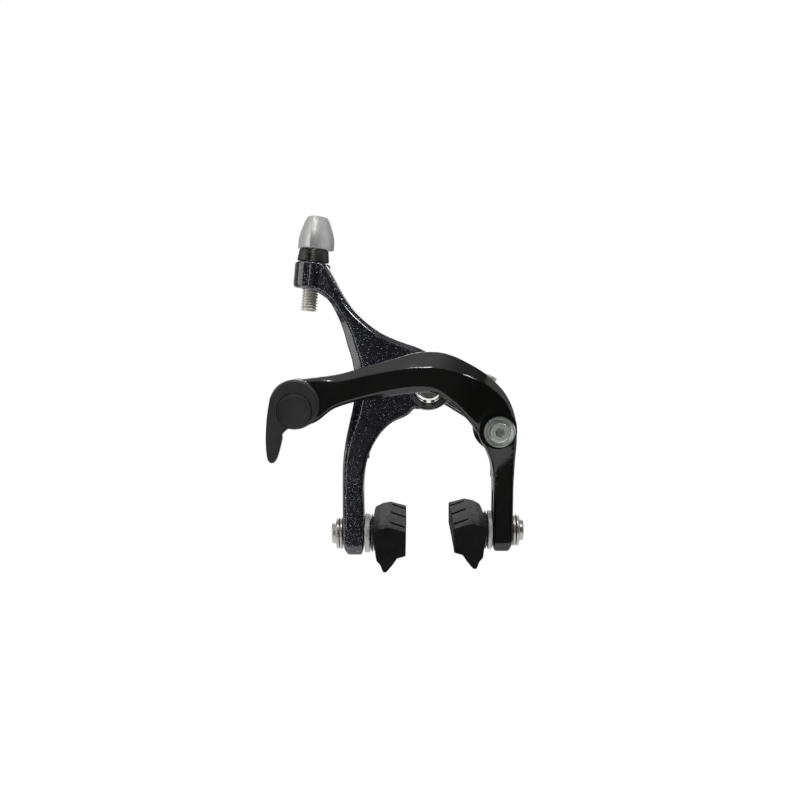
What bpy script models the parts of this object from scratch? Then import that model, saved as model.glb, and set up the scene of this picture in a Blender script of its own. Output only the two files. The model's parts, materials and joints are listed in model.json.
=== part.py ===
"""Dual-pivot side-pull rim brake caliper.

Metres, +Z up. +X points right as seen from in front, +Y points into the fork or
frame. The origin lies on the mounting bolt's axis, in the face that meets the
fork. Sizes below are in millimetres and become metres when a mesh is made.
"""
import math
from collections import namedtuple

import bmesh
import bpy
from mathutils import Matrix, Vector

MM = 0.001
GAP = 0.3                      # air between pieces that touch on the bench
SIDES = 20                     # facets round an ordinary turned piece
FINE_SIDES = 36                # facets round the largest turned pieces

# Driving dimensions
CENTRE_PIVOT = Vector((0.0, 0.0, 0.0))
SIDE_PIVOT = Vector((24.4, 0.0, -15.1))
PAD_REACH = {"left": 51.6, "right": 50.4}   # bolt axis down to each stud, at its slot's foot
PAD_TRAVEL = 12.0              # how far a stud climbs its slot
PAD_MIDDLE_Y = -19.0           # depth of the studs, the middle of both legs
RIM_GAP = 16.0                 # between the two friction faces, brake open
CABLE_Y = -14.5                # depth of the cable's straight run
ADJUSTER_FOOT = Vector((-42.7, CABLE_Y, 27.2))
ADJUSTER_TOP = Vector((-39.6, CABLE_Y, 60.6))
RELEASE_PIVOT = Vector((-45.4, 0.0, -5.0))
ANCHOR_OFFSET = 2.0            # cable anchor below the release lever's pivot

# Depths along the mounting bolt, from the fork face forwards
SEAT_THICKNESS = 2.0
BRACKET_BACK = -SEAT_THICKNESS - GAP
BRACKET_FRONT = -8.0
WASHER_FRONT = -8.9
ARM_BACK = WASHER_FRONT - GAP
Y_ARM_FRONT = -20.2
FRONT_SPAN = -36.5             # foremost face of the cable-side arm
SPAN_BACK = -26.8              # its rear face where it passes the centre bolt
LEG_FRONT = PAD_MIDDLE_Y - 6.6
LEG_BACK = PAD_MIDDLE_Y + 6.5
LEVER_BACK = FRONT_SPAN - GAP
LEVER_FRONT = LEVER_BACK - 3.9
COVER_POCKET = 0.9             # depth of the recess for the cover in the lever's face
SIDE_SEAT = -26.2              # floor of the counterbore round the side pivot's head

# Radii
M6 = 2.9                       # thread crests, a shade under nominal
M5 = 2.4
M4 = 1.9
BUSH = 4.4                     # outside of the plain bushes in both arms
CAM = 4.5                      # release cam's shaft
SPRING_WIRE = 0.8

# Where the return spring's ends rest behind the two legs
LEFT_SLIDER = Vector((-23.4, -8.1, -24.0))
RIGHT_SLIDER = Vector((24.6, -9.2, -30.5))

X_AXIS = Vector((1.0, 0.0, 0.0))
Y_AXIS = Vector((0.0, 1.0, 0.0))
Z_AXIS = Vector((0.0, 0.0, 1.0))
ADJUSTER_AXIS = (ADJUSTER_TOP - ADJUSTER_FOOT).normalized()
CENTRE_LINE = (SIDE_PIVOT - CENTRE_PIVOT).normalized()
SCREW_AXIS = CENTRE_LINE.cross(Y_AXIS)
# The arms touch here; where this splits the centre line sets their relative speed.
CONTACT_LIFT = 2.6             # contact above the line of centres
CONTACT = CENTRE_PIVOT + CENTRE_LINE * 16.8 + SCREW_AXIS * CONTACT_LIFT
CONTACT_GAP = 0.5              # air under the centering screw's foot
SCREW_Y = -17.5

Rib = namedtuple("Rib", "outer_x outer_z inner_x inner_z front back outer_bevel inner_bevel")


# ---------------------------------------------------------------- scene tools

def clear_scene():
    for old in list(bpy.data.objects):
        bpy.data.objects.remove(old)


def material(name, colour, metallic, roughness):
    made = bpy.data.materials.new(name)
    made.use_nodes = True
    shader = made.node_tree.nodes["Principled BSDF"]
    shader.inputs["Base Color"].default_value = (*colour, 1.0)
    shader.inputs["Metallic"].default_value = metallic
    shader.inputs["Roughness"].default_value = roughness
    return made


def make_object(name, points, faces):
    """A closed mesh object from points in millimetres, its faces turned outwards."""
    mesh = bpy.data.meshes.new(name)
    mesh.from_pydata([Vector(point) * MM for point in points], [], faces)
    work = bmesh.new()
    work.from_mesh(mesh)
    bmesh.ops.recalc_face_normals(work, faces=work.faces)
    work.to_mesh(mesh)
    work.free()
    made = bpy.data.objects.new(name, mesh)
    bpy.context.collection.objects.link(made)
    return made


def combine(target, tool, operation):
    """Unite target with tool or cut it by tool, then drop the tool."""
    modifier = target.modifiers.new(operation.title(), 'BOOLEAN')
    modifier.operation = operation
    modifier.object = tool
    bpy.context.view_layer.update()
    depsgraph = bpy.context.evaluated_depsgraph_get()
    result = bpy.data.meshes.new_from_object(target.evaluated_get(depsgraph))
    target.modifiers.clear()
    target.data = result
    bpy.data.objects.remove(tool)


def unite(target, *tools):
    for tool in tools:
        combine(target, tool, 'UNION')


def cut(target, *tools):
    for tool in tools:
        combine(target, tool, 'DIFFERENCE')


def finish(piece, surface, pivot=CENTRE_PIVOT, crease_degrees=32):
    """Give a piece its material, smooth shading and an origin on its pivot."""
    piece.data.materials.clear()
    piece.data.materials.append(surface)
    piece.data.shade_smooth()
    piece.data.set_sharp_from_angle(angle=math.radians(crease_degrees))
    piece.data.transform(Matrix.Translation(-pivot * MM))
    piece.location = pivot * MM
    return piece


def gather(name, pivot, pieces, parent=None):
    """Parent the pieces of one moving body to an empty on its joint's axis."""
    empty = bpy.data.objects.new(name, None)
    empty.empty_display_size = 5 * MM
    bpy.context.collection.objects.link(empty)
    empty.location = pivot * MM
    bpy.context.view_layer.update()
    for child in pieces:
        child.parent = empty
        child.matrix_parent_inverse = empty.matrix_world.inverted()
    if parent is not None:
        empty.parent = parent
        empty.matrix_parent_inverse = parent.matrix_world.inverted()
    return empty


# ---------------------------------------------------------------- shape tools

def skinned(name, loops):
    """Skin a row of loops of equal length, with the end loops as caps."""
    size = len(loops[0])
    points = [point for loop in loops for point in loop]
    faces = []
    for row in range(len(loops) - 1):
        this = row * size
        following = this + size
        for corner in range(size):
            after = (corner + 1) % size
            faces.append((this + corner, this + after, following + after, following + corner))
    faces.append(tuple(range(size)))
    faces.append(tuple(range(len(points) - size, len(points))))
    return make_object(name, points, faces)


def turned(name, section, base, axis, sides=SIDES):
    """Turn a half section of (radius, height) points about an axis through base."""
    turn = Vector(axis).to_track_quat('Z', 'X').to_matrix()
    points = []
    rings = []
    for radius, height in section:
        count = sides if radius > 0 else 1
        first = len(points)
        for step in range(count):
            angle = math.tau * step / sides
            spot = Vector((radius * math.cos(angle), radius * math.sin(angle), height))
            points.append(Vector(base) + turn @ spot)
        rings.append([first + step % count for step in range(sides)])
    faces = []
    for row, ring in enumerate(rings):
        following = rings[(row + 1) % len(rings)]
        for step in range(sides):
            after = (step + 1) % sides
            corners = (ring[step], ring[after], following[after], following[step])
            face = tuple(dict.fromkeys(corners))
            if len(face) > 2:
                faces.append(face)
    return make_object(name, points, faces)


def rod(name, radius, start, end, sides=SIDES):
    start = Vector(start)
    length = (Vector(end) - start).length
    section = [(0, 0), (radius, 0), (radius, length), (0, length)]
    return turned(name, section, start, Vector(end) - start, sides)


def ring(name, inner, outer, start, end, sides=SIDES, edge=0.2):
    """A washer or bush with its outer edges eased."""
    start = Vector(start)
    length = (Vector(end) - start).length
    section = [(inner, 0), (outer - edge, 0), (outer, edge), (outer, length - edge),
               (outer - edge, length), (inner, length)]
    return turned(name, section, start, Vector(end) - start, sides)


def extruded(name, outline, base, across, up, length):
    """Extrude a flat outline of (across, up) points along across x up."""
    along = across.cross(up) * length
    near = [Vector(base) + across * a + up * b for a, b in outline]
    far = [point + along for point in near]
    return skinned(name, [near, far])


def circle(radius, sides=SIDES):
    turns = [math.tau * step / sides for step in range(sides)]
    return [(radius * math.cos(t), radius * math.sin(t)) for t in turns]


def hexagon(across_flats):
    return circle(across_flats / math.sqrt(3), sides=6)


def stadium(low, high, radius, sides=SIDES):
    """An upright slot outline whose end arcs are centred at heights low and high."""
    half = sides // 2
    top = [math.pi * step / half for step in range(half + 1)]
    upper = [(radius * math.cos(t), high + radius * math.sin(t)) for t in top]
    lower = [(-radius * math.cos(t), low - radius * math.sin(t)) for t in top]
    return upper + lower


def smoothed(rows, steps):
    """Pass a Catmull-Rom curve through rows of numbers, steps points to each gap."""
    padded = [rows[0]] + list(rows) + [rows[-1]]
    result = []
    for a, b, c, d in zip(padded, padded[1:], padded[2:], padded[3:]):
        for step in range(steps):
            t = step / steps
            result.append([0.5 * (2 * q + (r - p) * t + (2 * p - 5 * q + 4 * r - s) * t * t
                                  + (3 * q - p - 3 * r + s) * t * t * t)
                           for p, q, r, s in zip(a, b, c, d)])
    result.append(list(rows[-1]))
    return result


def arm_section(rib, back_bevel=0.8, slope=0.75):
    """The eight-cornered cross-section of a forged arm at one rib."""
    outer = Vector((rib.outer_x, 0, rib.outer_z))
    inner = Vector((rib.inner_x, 0, rib.inner_z))
    out = (outer - inner).normalized()
    front = Y_AXIS * rib.front
    back = Y_AXIS * rib.back
    return [
        outer - out * back_bevel + back,
        outer + back - Y_AXIS * back_bevel,
        outer + front + Y_AXIS * rib.outer_bevel * slope,
        outer - out * rib.outer_bevel + front,
        inner + out * rib.inner_bevel + front,
        inner + front + Y_AXIS * rib.inner_bevel * slope,
        inner + back - Y_AXIS * back_bevel,
        inner + out * back_bevel + back,
    ]


def lofted_arm(name, ribs, steps=3):
    rows = [Rib(*row) for row in smoothed(ribs, steps)]
    return skinned(name, [arm_section(row) for row in rows])


def mirror_sign(side):
    return -1 if side == "left" else 1


# ------------------------------------------------------------ fixed middle part

def pivot_bracket(surface):
    """The rear plate that joins both pivots, grooved behind for the spring wire."""
    depth = BRACKET_BACK - BRACKET_FRONT
    above = SCREW_AXIS * 6.6
    below = -SCREW_AXIS * 2.4
    corners = [above, SIDE_PIVOT + above, SIDE_PIVOT + below, below]
    web = [(corner.x, corner.z) for corner in corners]
    base = Y_AXIS * BRACKET_BACK
    plate = extruded("pivot_bracket", web, base - Y_AXIS * 0.02, X_AXIS, Z_AXIS, depth - 0.04)
    lobes = [rod("lobe", 8.6, base, Y_AXIS * BRACKET_FRONT, FINE_SIDES),
             rod("lobe", 8.0, SIDE_PIVOT + base, SIDE_PIVOT + Y_AXIS * BRACKET_FRONT, FINE_SIDES)]
    unite(plate, *lobes)
    bores = [rod("bore", M6 + GAP, spot + Y_AXIS, spot - Y_AXIS * 10)
             for spot in (CENTRE_PIVOT, SIDE_PIVOT)]
    cut(plate, *bores, spring_tube("groove", SPRING_WIRE + GAP))
    return finish(plate, surface)


def spring_route():
    """The wire's middle line: slider, bracket groove under both pivots, slider."""
    groove = BRACKET_BACK - 1.0
    turns = [LEFT_SLIDER - Z_AXIS * 3.2, LEFT_SLIDER + Z_AXIS * 2.6,
             Vector((-20.0, -6.4, -15.6)), Vector((-12.6, -4.4, -8.6)),
             Vector((-6.0, groove, -5.2)), Vector((0.6, groove, -5.2)),
             Vector((7.0, groove, -5.2)), Vector((13.0, groove, -8.6)),
             Vector((17.8, groove, -13.8)), Vector((20.2, groove, -19.6)),
             Vector((22.8, -5.8, -24.8)),
             RIGHT_SLIDER + Z_AXIS * 2.6, RIGHT_SLIDER - Z_AXIS * 3.2]
    return [Vector(row) for row in smoothed(turns, 2)]


def spring_tube(name, radius, sides=8):
    """A round tube along the spring's route, closed at both ends."""
    route = spring_route()
    loops = []
    for index, spot in enumerate(route):
        ahead = route[min(index + 1, len(route) - 1)]
        behind = route[max(index - 1, 0)]
        heading = (ahead - behind).normalized()
        side = heading.cross(Y_AXIS).normalized()
        lift = side.cross(heading)
        loops.append([spot + side * a + lift * b for a, b in circle(radius, sides)])
    return skinned(name, loops)


def mounting_bolt(surface):
    """Long through bolt: domed round head in front, shank out into the fork."""
    head_back = Y_ARM_FRONT - GAP - 0.8 - GAP
    head_front = head_back - 4.0
    tip = 27.0
    head = 6.2
    section = [(0, 0), (M6 - 0.5, 0), (M6, 0.5), (M6, tip - head_back), (head - 0.3, tip - head_back),
               (head, tip - head_back + 0.4), (head, tip - head_front - 1.6),
               (head - 0.6, tip - head_front - 0.6), (head - 1.7, tip - head_front), (0, tip - head_front)]
    bolt = turned("mounting_bolt", section, Y_AXIS * tip, -Y_AXIS, FINE_SIDES)
    socket_back = Y_AXIS * (head_front + 2.4)
    cut(bolt, extruded("socket", hexagon(5.0), socket_back, X_AXIS, Z_AXIS, 4.0))
    return finish(bolt, surface)


def sleeve_nut(surface):
    """Recessed nut that draws the bolt up from inside the fork crown."""
    start = 14.0
    length = 20.0
    section = [(M6 + GAP, 0), (3.7, 0), (4.0, 0.4), (4.0, length - 2.2), (5.2, length - 2.0),
               (5.2, length - 0.4), (4.9, length), (M6 + GAP, length)]
    nut = turned("sleeve_nut", section, Y_AXIS * start, Y_AXIS)
    return finish(nut, surface)


def middle_washers(steel, nylon):
    """Seat, slide and front washers and the two plain bushes in the pivots."""
    front = Y_ARM_FRONT - GAP
    side_front = SIDE_SEAT - GAP
    hole = M6 + GAP
    pieces = [
        ring("seat_washer", hole, 7.6, Y_AXIS * -SEAT_THICKNESS, CENTRE_PIVOT, edge=0.4),
        ring("centre_slide_washer", hole, 7.0, Y_AXIS * WASHER_FRONT, Y_AXIS * (BRACKET_FRONT - GAP)),
        ring("centre_front_washer", hole, 7.0, Y_AXIS * (front - 0.8), Y_AXIS * front),
        ring("centre_bush", hole, BUSH, Y_AXIS * (Y_ARM_FRONT + 0.1), Y_AXIS * (ARM_BACK - 0.1)),
    ]
    side_pieces = [
        ring("side_slide_washer", hole, 6.6, Y_AXIS * WASHER_FRONT, Y_AXIS * (BRACKET_FRONT - GAP)),
        ring("side_bush", hole, BUSH, Y_AXIS * side_front, Y_AXIS * (ARM_BACK - 0.1)),
    ]
    for piece in side_pieces:
        piece.data.transform(Matrix.Translation(SIDE_PIVOT * MM))
    finishes = [steel, nylon, steel, nylon, nylon, nylon]
    return [finish(piece, look) for piece, look in zip(pieces + side_pieces, finishes)]


def side_pivot_bolt(surface):
    """Pivot bolt fixed in the bracket, with a broad flange and a raised socket hub."""
    back = BRACKET_BACK - 0.2
    flange_back = SIDE_SEAT - 0.1 - 2 * GAP
    flange = 5.6
    hub = 3.3
    reach = back - flange_back
    section = [(0, 0), (M6 - 0.4, 0), (M6, 0.4), (M6, reach), (flange - 0.2, reach),
               (flange, reach + 0.2), (flange, reach + 0.9), (flange - 0.5, reach + 1.3),
               (hub + 0.2, reach + 1.5), (hub, reach + 2.4), (hub - 0.3, reach + 2.7), (0, reach + 2.7)]
    bolt = turned("side_pivot_bolt", section, SIDE_PIVOT + Y_AXIS * back, -Y_AXIS)
    floor = SIDE_PIVOT + Y_AXIS * (flange_back - 0.6)
    cut(bolt, extruded("socket", hexagon(3.0), floor, X_AXIS, Z_AXIS, 4.0))
    return finish(bolt, surface, SIDE_PIVOT)


def return_spring(surface):
    return finish(spring_tube("return_spring", SPRING_WIRE), surface)


# ------------------------------------------------------------------- the arms

def leg_slot(side):
    """The upright slot that a pad stud climbs, cut right through a leg."""
    foot = -PAD_REACH[side]
    outline = stadium(foot, foot + PAD_TRAVEL, M6 + GAP)
    base = X_AXIS * (26.0 * mirror_sign(side) - 8.0) + Y_AXIS * PAD_MIDDLE_Y
    return extruded("slot", outline, base, Y_AXIS, Z_AXIS, 16.0)


def y_arm(surface):
    """Housing-stop arm: adjuster boss, shoulder, centre hub, contact tab and left leg."""
    arm_ribs = [
        Rib(-36.6, 44.0, -41.5, 34.8, Y_ARM_FRONT, ARM_BACK, 1.6, 1.0),
        Rib(-33.8, 39.4, -38.2, 33.0, Y_ARM_FRONT, ARM_BACK, 1.9, 1.0),
        Rib(-30.9, 34.0, -35.0, 30.4, Y_ARM_FRONT, ARM_BACK, 1.9, 1.0),
        Rib(-27.0, 28.1, -32.6, 26.2, Y_ARM_FRONT, ARM_BACK, 1.9, 1.4),
        Rib(-22.2, 23.3, -30.3, 20.6, Y_ARM_FRONT, ARM_BACK, 1.9, 2.4),
        Rib(-16.2, 19.1, -27.6, 11.5, Y_ARM_FRONT, ARM_BACK, 1.9, 3.2),
        Rib(-9.4, 16.2, -22.4, 1.0, Y_ARM_FRONT, ARM_BACK, 1.9, 3.0),
        Rib(-2.8, 13.8, -9.5, -6.4, Y_ARM_FRONT, ARM_BACK, 1.9, 1.0),
        Rib(4.0, 9.6, -1.0, -7.4, Y_ARM_FRONT, ARM_BACK, 1.9, 1.0),
        Rib(7.6, 3.6, 5.6, -4.4, Y_ARM_FRONT, ARM_BACK, 1.2, 1.0),
    ]
    proud = Y_ARM_FRONT - 0.12
    leg_ribs = [
        Rib(-29.2, 17.0, -15.0, 14.5, proud, ARM_BACK - 0.1, 2.8, 1.0),
        Rib(-26.9, 8.5, -8.5, 5.0, proud, ARM_BACK - 0.1, 3.2, 1.0),
        Rib(-26.1, 0.0, -5.0, -4.0, proud, ARM_BACK - 0.1, 3.1, 1.0),
        Rib(-26.9, -7.0, -6.6, -9.1, proud, ARM_BACK - 0.1, 2.8, 1.0),
        Rib(-28.1, -12.6, -13.4, -12.7, -20.6, ARM_BACK - 0.1, 2.4, 1.0),
        Rib(-29.3, -18.8, -18.2, -17.9, -21.8, -9.8, 1.4, 1.0),
        Rib(-30.1, -26.0, -21.6, -25.2, -23.4, -10.8, 0.8, 0.8),
        Rib(-30.2, -35.0, -22.9, -34.0, -25.0, -12.0, 0.7, 0.7),
        Rib(-30.1, -47.0, -22.8, -47.0, LEG_FRONT, LEG_BACK, 0.7, 0.7),
        Rib(-29.8, -55.4, -22.8, -55.6, LEG_FRONT, LEG_BACK, 0.7, 0.7),
        Rib(-28.4, -58.4, -23.4, -58.4, LEG_FRONT + 0.6, LEG_BACK - 0.6, 0.7, 0.7),
    ]
    arm = lofted_arm("y_arm", arm_ribs)
    boss = [(0, 7.9), (5.6, 7.9), (6.3, 8.7), (6.3, 16.7), (5.9, 17.3), (0, 17.3)]
    tab_across = CENTRE_LINE * 19.5
    tab_low = -SCREW_AXIS * 1.4
    tab_high = SCREW_AXIS * (CONTACT_LIFT - CONTACT_GAP)
    tab = [tab_low, tab_low + tab_across, tab_high + tab_across, tab_high]
    unite(arm, lofted_arm("leg", leg_ribs),
          rod("hub", 7.9, Y_AXIS * (Y_ARM_FRONT - 0.06), Y_AXIS * (ARM_BACK - 0.05), FINE_SIDES),
          turned("boss", boss, ADJUSTER_FOOT, ADJUSTER_AXIS),
          extruded("tab", [(corner.x, corner.z) for corner in tab],
                   Y_AXIS * -10.4, X_AXIS, Z_AXIS, 9.4))
    cut(arm, rod("bore", BUSH + GAP, Y_AXIS * -5, Y_AXIS * -30),
        rod("thread", M6 + GAP, ADJUSTER_FOOT, ADJUSTER_TOP),
        leg_slot("left"))
    return finish(arm, surface)


def c_arm(surface):
    """Cable-side arm: lever boss, front span, side-pivot hub, screw lug and right leg."""
    ribs = [
        Rib(-44.6, 3.3, -44.8, -13.2, FRONT_SPAN, SPAN_BACK, 1.2, 1.2),
        Rib(-37.6, 4.1, -38.6, -11.2, FRONT_SPAN, SPAN_BACK, 1.3, 1.2),
        Rib(-30.5, 5.2, -32.3, -6.6, FRONT_SPAN, SPAN_BACK, 2.6, 1.2),
        Rib(-21.2, 7.8, -22.8, -3.7, FRONT_SPAN, SPAN_BACK, 3.3, 1.4),
        Rib(-12.2, 10.3, -13.4, -2.4, FRONT_SPAN, SPAN_BACK, 4.1, 2.2),
        Rib(-3.6, 12.5, -5.4, -1.3, FRONT_SPAN, SPAN_BACK, 5.4, 2.2),
        Rib(5.4, 12.2, 1.8, -1.4, FRONT_SPAN, SPAN_BACK, 5.4, 1.6),
        Rib(14.2, 8.4, 8.4, -5.6, FRONT_SPAN + 0.4, SPAN_BACK, 4.3, 1.2),
        Rib(21.2, 3.6, 13.4, -11.0, FRONT_SPAN + 1.8, SPAN_BACK + 0.4, 3.1, 1.2),
        Rib(26.5, -2.2, 16.6, -15.4, -32.2, -22.6, 2.0, 1.2),
        Rib(29.6, -9.5, 18.6, -19.4, -30.2, -14.5, 1.3, 1.2),
        Rib(30.4, -17.5, 20.6, -22.8, -28.8, -11.0, 1.2, 1.0),
        Rib(29.9, -25.5, 22.1, -27.6, -27.4, -11.4, 1.0, 0.8),
        Rib(29.5, -35.0, 22.6, -35.5, -26.4, -12.2, 0.8, 0.7),
        Rib(29.4, -47.0, 22.5, -47.0, LEG_FRONT, LEG_BACK, 0.7, 0.7),
        Rib(29.2, -54.0, 22.5, -54.2, LEG_FRONT, LEG_BACK, 0.7, 0.7),
        Rib(28.0, -57.0, 22.9, -57.0, LEG_FRONT + 0.6, LEG_BACK - 0.6, 0.7, 0.7),
    ]
    arm = lofted_arm("c_arm", ribs)
    lever_boss = RELEASE_PIVOT + Y_AXIS * (FRONT_SPAN - 0.05)
    recess = SIDE_PIVOT + Vector((-0.6, 0, 0.9))
    unite(arm,
          ring("boss", 4.0, 8.4, lever_boss, lever_boss + Y_AXIS * 14.4, FINE_SIDES, edge=0.8),
          rod("hub", 6.4, SIDE_PIVOT + Y_AXIS * -25.0, SIDE_PIVOT + Y_AXIS * ARM_BACK, FINE_SIDES),
          screw_lug())
    cut(arm,
        rod("bore", BUSH + GAP, SIDE_PIVOT + Y_AXIS * -5, SIDE_PIVOT + Y_AXIS * -40),
        rod("counterbore", 6.7, recess + Y_AXIS * SIDE_SEAT, recess + Y_AXIS * -40, FINE_SIDES),
        rod("release_bore", CAM + GAP, RELEASE_PIVOT + Y_AXIS * -10, RELEASE_PIVOT + Y_AXIS * -50),
        rod("screw_bore", M4 + GAP, at_screw(0), at_screw(20), 20),
        leg_slot("right"))
    return finish(arm, surface, SIDE_PIVOT)


def at_screw(height):
    """A point on the centering screw's axis, height above the contact point."""
    return CONTACT + Y_AXIS * SCREW_Y + SCREW_AXIS * height


def screw_lug():
    """The lug behind the span that carries the centering screw, round at its back."""
    radius = 3.5
    half = 8
    front = -12.0
    arc = [math.pi * step / half for step in range(half + 1)]
    outline = [(radius * math.cos(t), radius * math.sin(t)) for t in arc]
    outline += [(-radius, front), (radius, front)]
    return extruded("lug", outline, at_screw(5.6 - CONTACT_LIFT), CENTRE_LINE, Y_AXIS, 7.8)


def centering_screw(surface):
    """Set screw whose foot bears on the other arm's tab."""
    length = 15.4 - CONTACT_LIFT
    section = [(0, 0), (1.0, 0), (1.3, 0.3), (1.3, 1.6), (M4, 2.2), (M4, length - 0.3),
               (M4 - 0.3, length), (0, length)]
    screw = turned("centering_screw", section, at_screw(0), SCREW_AXIS, 20)
    up = SCREW_AXIS.cross(Y_AXIS)
    cut(screw, extruded("socket", hexagon(2.0), at_screw(length + 1), Y_AXIS, up, 3.0))
    return finish(screw, surface, at_screw(0))


def spring_slider(side, surface, pivot):
    """Nylon shoe behind a leg, bored for the end of the spring wire."""
    spot = LEFT_SLIDER if side == "left" else RIGHT_SLIDER
    shoe = extruded("spring_slider_" + side, circle(2.1, 20), spot - Z_AXIS * 2, X_AXIS, Y_AXIS, 4.0)
    cut(shoe, rod("bore", SPRING_WIRE + GAP, spot - Z_AXIS * 9, spot + Z_AXIS * 9, 16))
    return finish(shoe, surface, pivot)


# ------------------------------------------------------- adjuster on the y_arm

def on_adjuster(height):
    """A point on the adjuster's axis, height above the foot of its thread."""
    return ADJUSTER_FOOT + ADJUSTER_AXIS * height


COLLAR_FOOT = 17.6
COLLAR_HEIGHT = 4.1
CAP_FOOT = COLLAR_FOOT + COLLAR_HEIGHT + GAP
CAP_TOP = (ADJUSTER_TOP - ADJUSTER_FOOT).length
STEM_TOP = 27.0


def adjuster_collar(surface):
    """Spacer under the cap, open in front so that the stem shows."""
    section = [(M6 + GAP, 0), (5.6, 0), (5.75, 0.3), (5.3, COLLAR_HEIGHT - 0.3),
               (5.1, COLLAR_HEIGHT), (M6 + GAP, COLLAR_HEIGHT)]
    collar = turned("adjuster_collar", section, on_adjuster(COLLAR_FOOT), ADJUSTER_AXIS)
    slot_half = 1.4
    across = ADJUSTER_AXIS.cross(Y_AXIS)
    outline = [(-slot_half, -9), (slot_half, -9), (slot_half, 0), (-slot_half, 0)]
    cut(collar, extruded("slot", outline, on_adjuster(COLLAR_FOOT + COLLAR_HEIGHT + 1),
                         across, Y_AXIS, COLLAR_HEIGHT + 2))
    return finish(collar, surface)


def adjuster_stem(surface):
    """Threaded stem, bored for the inner cable, with a seat for the housing on top."""
    cable = 1.1
    section = [(cable, 0), (M6 - 0.4, 0), (M6, 0.4), (M6, STEM_TOP - 0.3),
               (M6 - 0.3, STEM_TOP), (cable, STEM_TOP)]
    stem = turned("adjuster_stem", section, ADJUSTER_FOOT, ADJUSTER_AXIS)
    return finish(stem, surface, ADJUSTER_FOOT)


def adjuster_cap(surface):
    """Thumb nut of constant width: a rounded triangle that narrows to its open top."""
    housing = 2.6
    seat = STEM_TOP + 3.6
    widths = [(CAP_FOOT, 12.7), (CAP_FOOT + 0.4, 13.1), (CAP_FOOT + 3.4, 13.0), (CAP_FOOT + 7.0, 11.3),
              (CAP_FOOT + 9.8, 9.3), (CAP_TOP - 0.4, 7.9), (CAP_TOP, 7.2)]
    loops = [grip_loop(height, width) for height, width in widths]
    cap = skinned("adjuster_cap", loops)
    cut(cap, rod("thread", M6 + GAP, on_adjuster(CAP_FOOT - 2), on_adjuster(seat)),
        rod("mouth", housing, on_adjuster(seat - 1), on_adjuster(CAP_TOP + 2)))
    return finish(cap, surface, ADJUSTER_FOOT)


def grip_loop(height, width, steps=8, turn=math.radians(8)):
    """A Reuleaux triangle across the adjuster's axis, one corner turned to the front."""
    reach = width / math.sqrt(3)
    side = ADJUSTER_AXIS.cross(Y_AXIS)
    loop = []
    for step in range(3 * steps):
        angle = math.tau * step / (3 * steps)
        face = (angle % (math.tau / 3)) - math.tau / 6
        radius = math.sqrt(width ** 2 - (reach * math.sin(face)) ** 2) - reach * math.cos(face)
        heading = -Y_AXIS * math.cos(angle + turn) + side * math.sin(angle + turn)
        loop.append(on_adjuster(height) + heading * radius)
    return loop


# --------------------------------------------- quick release and cable anchor

ANCHOR = RELEASE_PIVOT - Z_AXIS * ANCHOR_OFFSET
FLANGE_FRONT = -21.6
CLAMP_FACE = CABLE_Y - 1.4
PLATE_BACK = CLAMP_FACE + GAP + 2.0


def release_lever(surface):
    """Round cam disc with a finger tab that hangs down outside it."""
    tab_turns = [(-53.5, -2.6), (-54.5, -8.6), (-55.1, -14.5), (-55.1, -18.7), (-54.7, -22.4),
                 (-53.9, -24.3), (-52.4, -24.6), (-51.3, -23.0), (-50.4, -20.0),
                 (-49.6, -16.6), (-49.6, -15.2), (-48.6, -14.0), (-46.0, -12.0), (-45.4, -5.0), (-50.0, 0.5)]
    disc = turned("quick_release_lever", lever_section(8.4), RELEASE_PIVOT + Y_AXIS * LEVER_BACK,
                  -Y_AXIS, FINE_SIDES)
    base = Y_AXIS * (LEVER_BACK - 0.15)
    tab_thickness = LEVER_BACK - LEVER_FRONT - 0.25
    tab = extruded("tab", tab_turns, base, X_AXIS, Z_AXIS, tab_thickness)
    unite(disc, tab)
    pocket = ANCHOR + Y_AXIS * (LEVER_FRONT + COVER_POCKET)
    cut(disc, rod("pocket", 6.0, pocket, pocket - Y_AXIS * 3, FINE_SIDES),
        rod("bore", CAM - 1.5 + GAP, RELEASE_PIVOT - Y_AXIS * 30, RELEASE_PIVOT - Y_AXIS * 50))
    return finish(disc, surface, RELEASE_PIVOT)


def lever_section(radius):
    thickness = LEVER_BACK - LEVER_FRONT
    return [(0, 0), (radius - 0.3, 0), (radius, 0.3), (radius, thickness - 0.9),
            (radius - 0.9, thickness), (0, thickness)]


def lever_cover(surface):
    """Shallow dished disc set off centre in the lever's face."""
    back = ANCHOR + Y_AXIS * (LEVER_FRONT + COVER_POCKET - GAP)
    section = [(0, 0), (5.7, 0), (5.7, 0.5), (5.4, 0.8), (4.6, 0.8), (0, 0.45)]
    return finish(turned("lever_cover", section, back, -Y_AXIS, FINE_SIDES), surface, RELEASE_PIVOT)


def cam_shaft(surface):
    """Cam through the arm's boss; its rear flange carries the cable anchor off centre."""
    nose = LEVER_FRONT + 0.9 + GAP
    shoulder = FRONT_SPAN + 0.2
    neck = CAM - 1.5
    section = [(0, 0), (neck, 0), (neck, shoulder - nose), (CAM, shoulder - nose),
               (CAM, FLANGE_FRONT - nose), (7.4, FLANGE_FRONT - nose), (7.6, FLANGE_FRONT - nose + 0.2),
               (7.6, CLAMP_FACE - nose - 0.2), (7.4, CLAMP_FACE - nose), (0, CLAMP_FACE - nose)]
    shaft = turned("cam_shaft", section, RELEASE_PIVOT + Y_AXIS * nose, Y_AXIS)
    cable_line = ANCHOR + Y_AXIS * (CLAMP_FACE + 0.2) + X_AXIS * (M5 + 1.0)
    cut(shaft, rod("anchor_bore", M5 + GAP, ANCHOR + Y_AXIS * -10, ANCHOR + Y_AXIS * -27),
        rod("cable_groove", 0.9, cable_line - Z_AXIS * 12, cable_line + Z_AXIS * 16, 16))
    return finish(shaft, surface, RELEASE_PIVOT)


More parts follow.
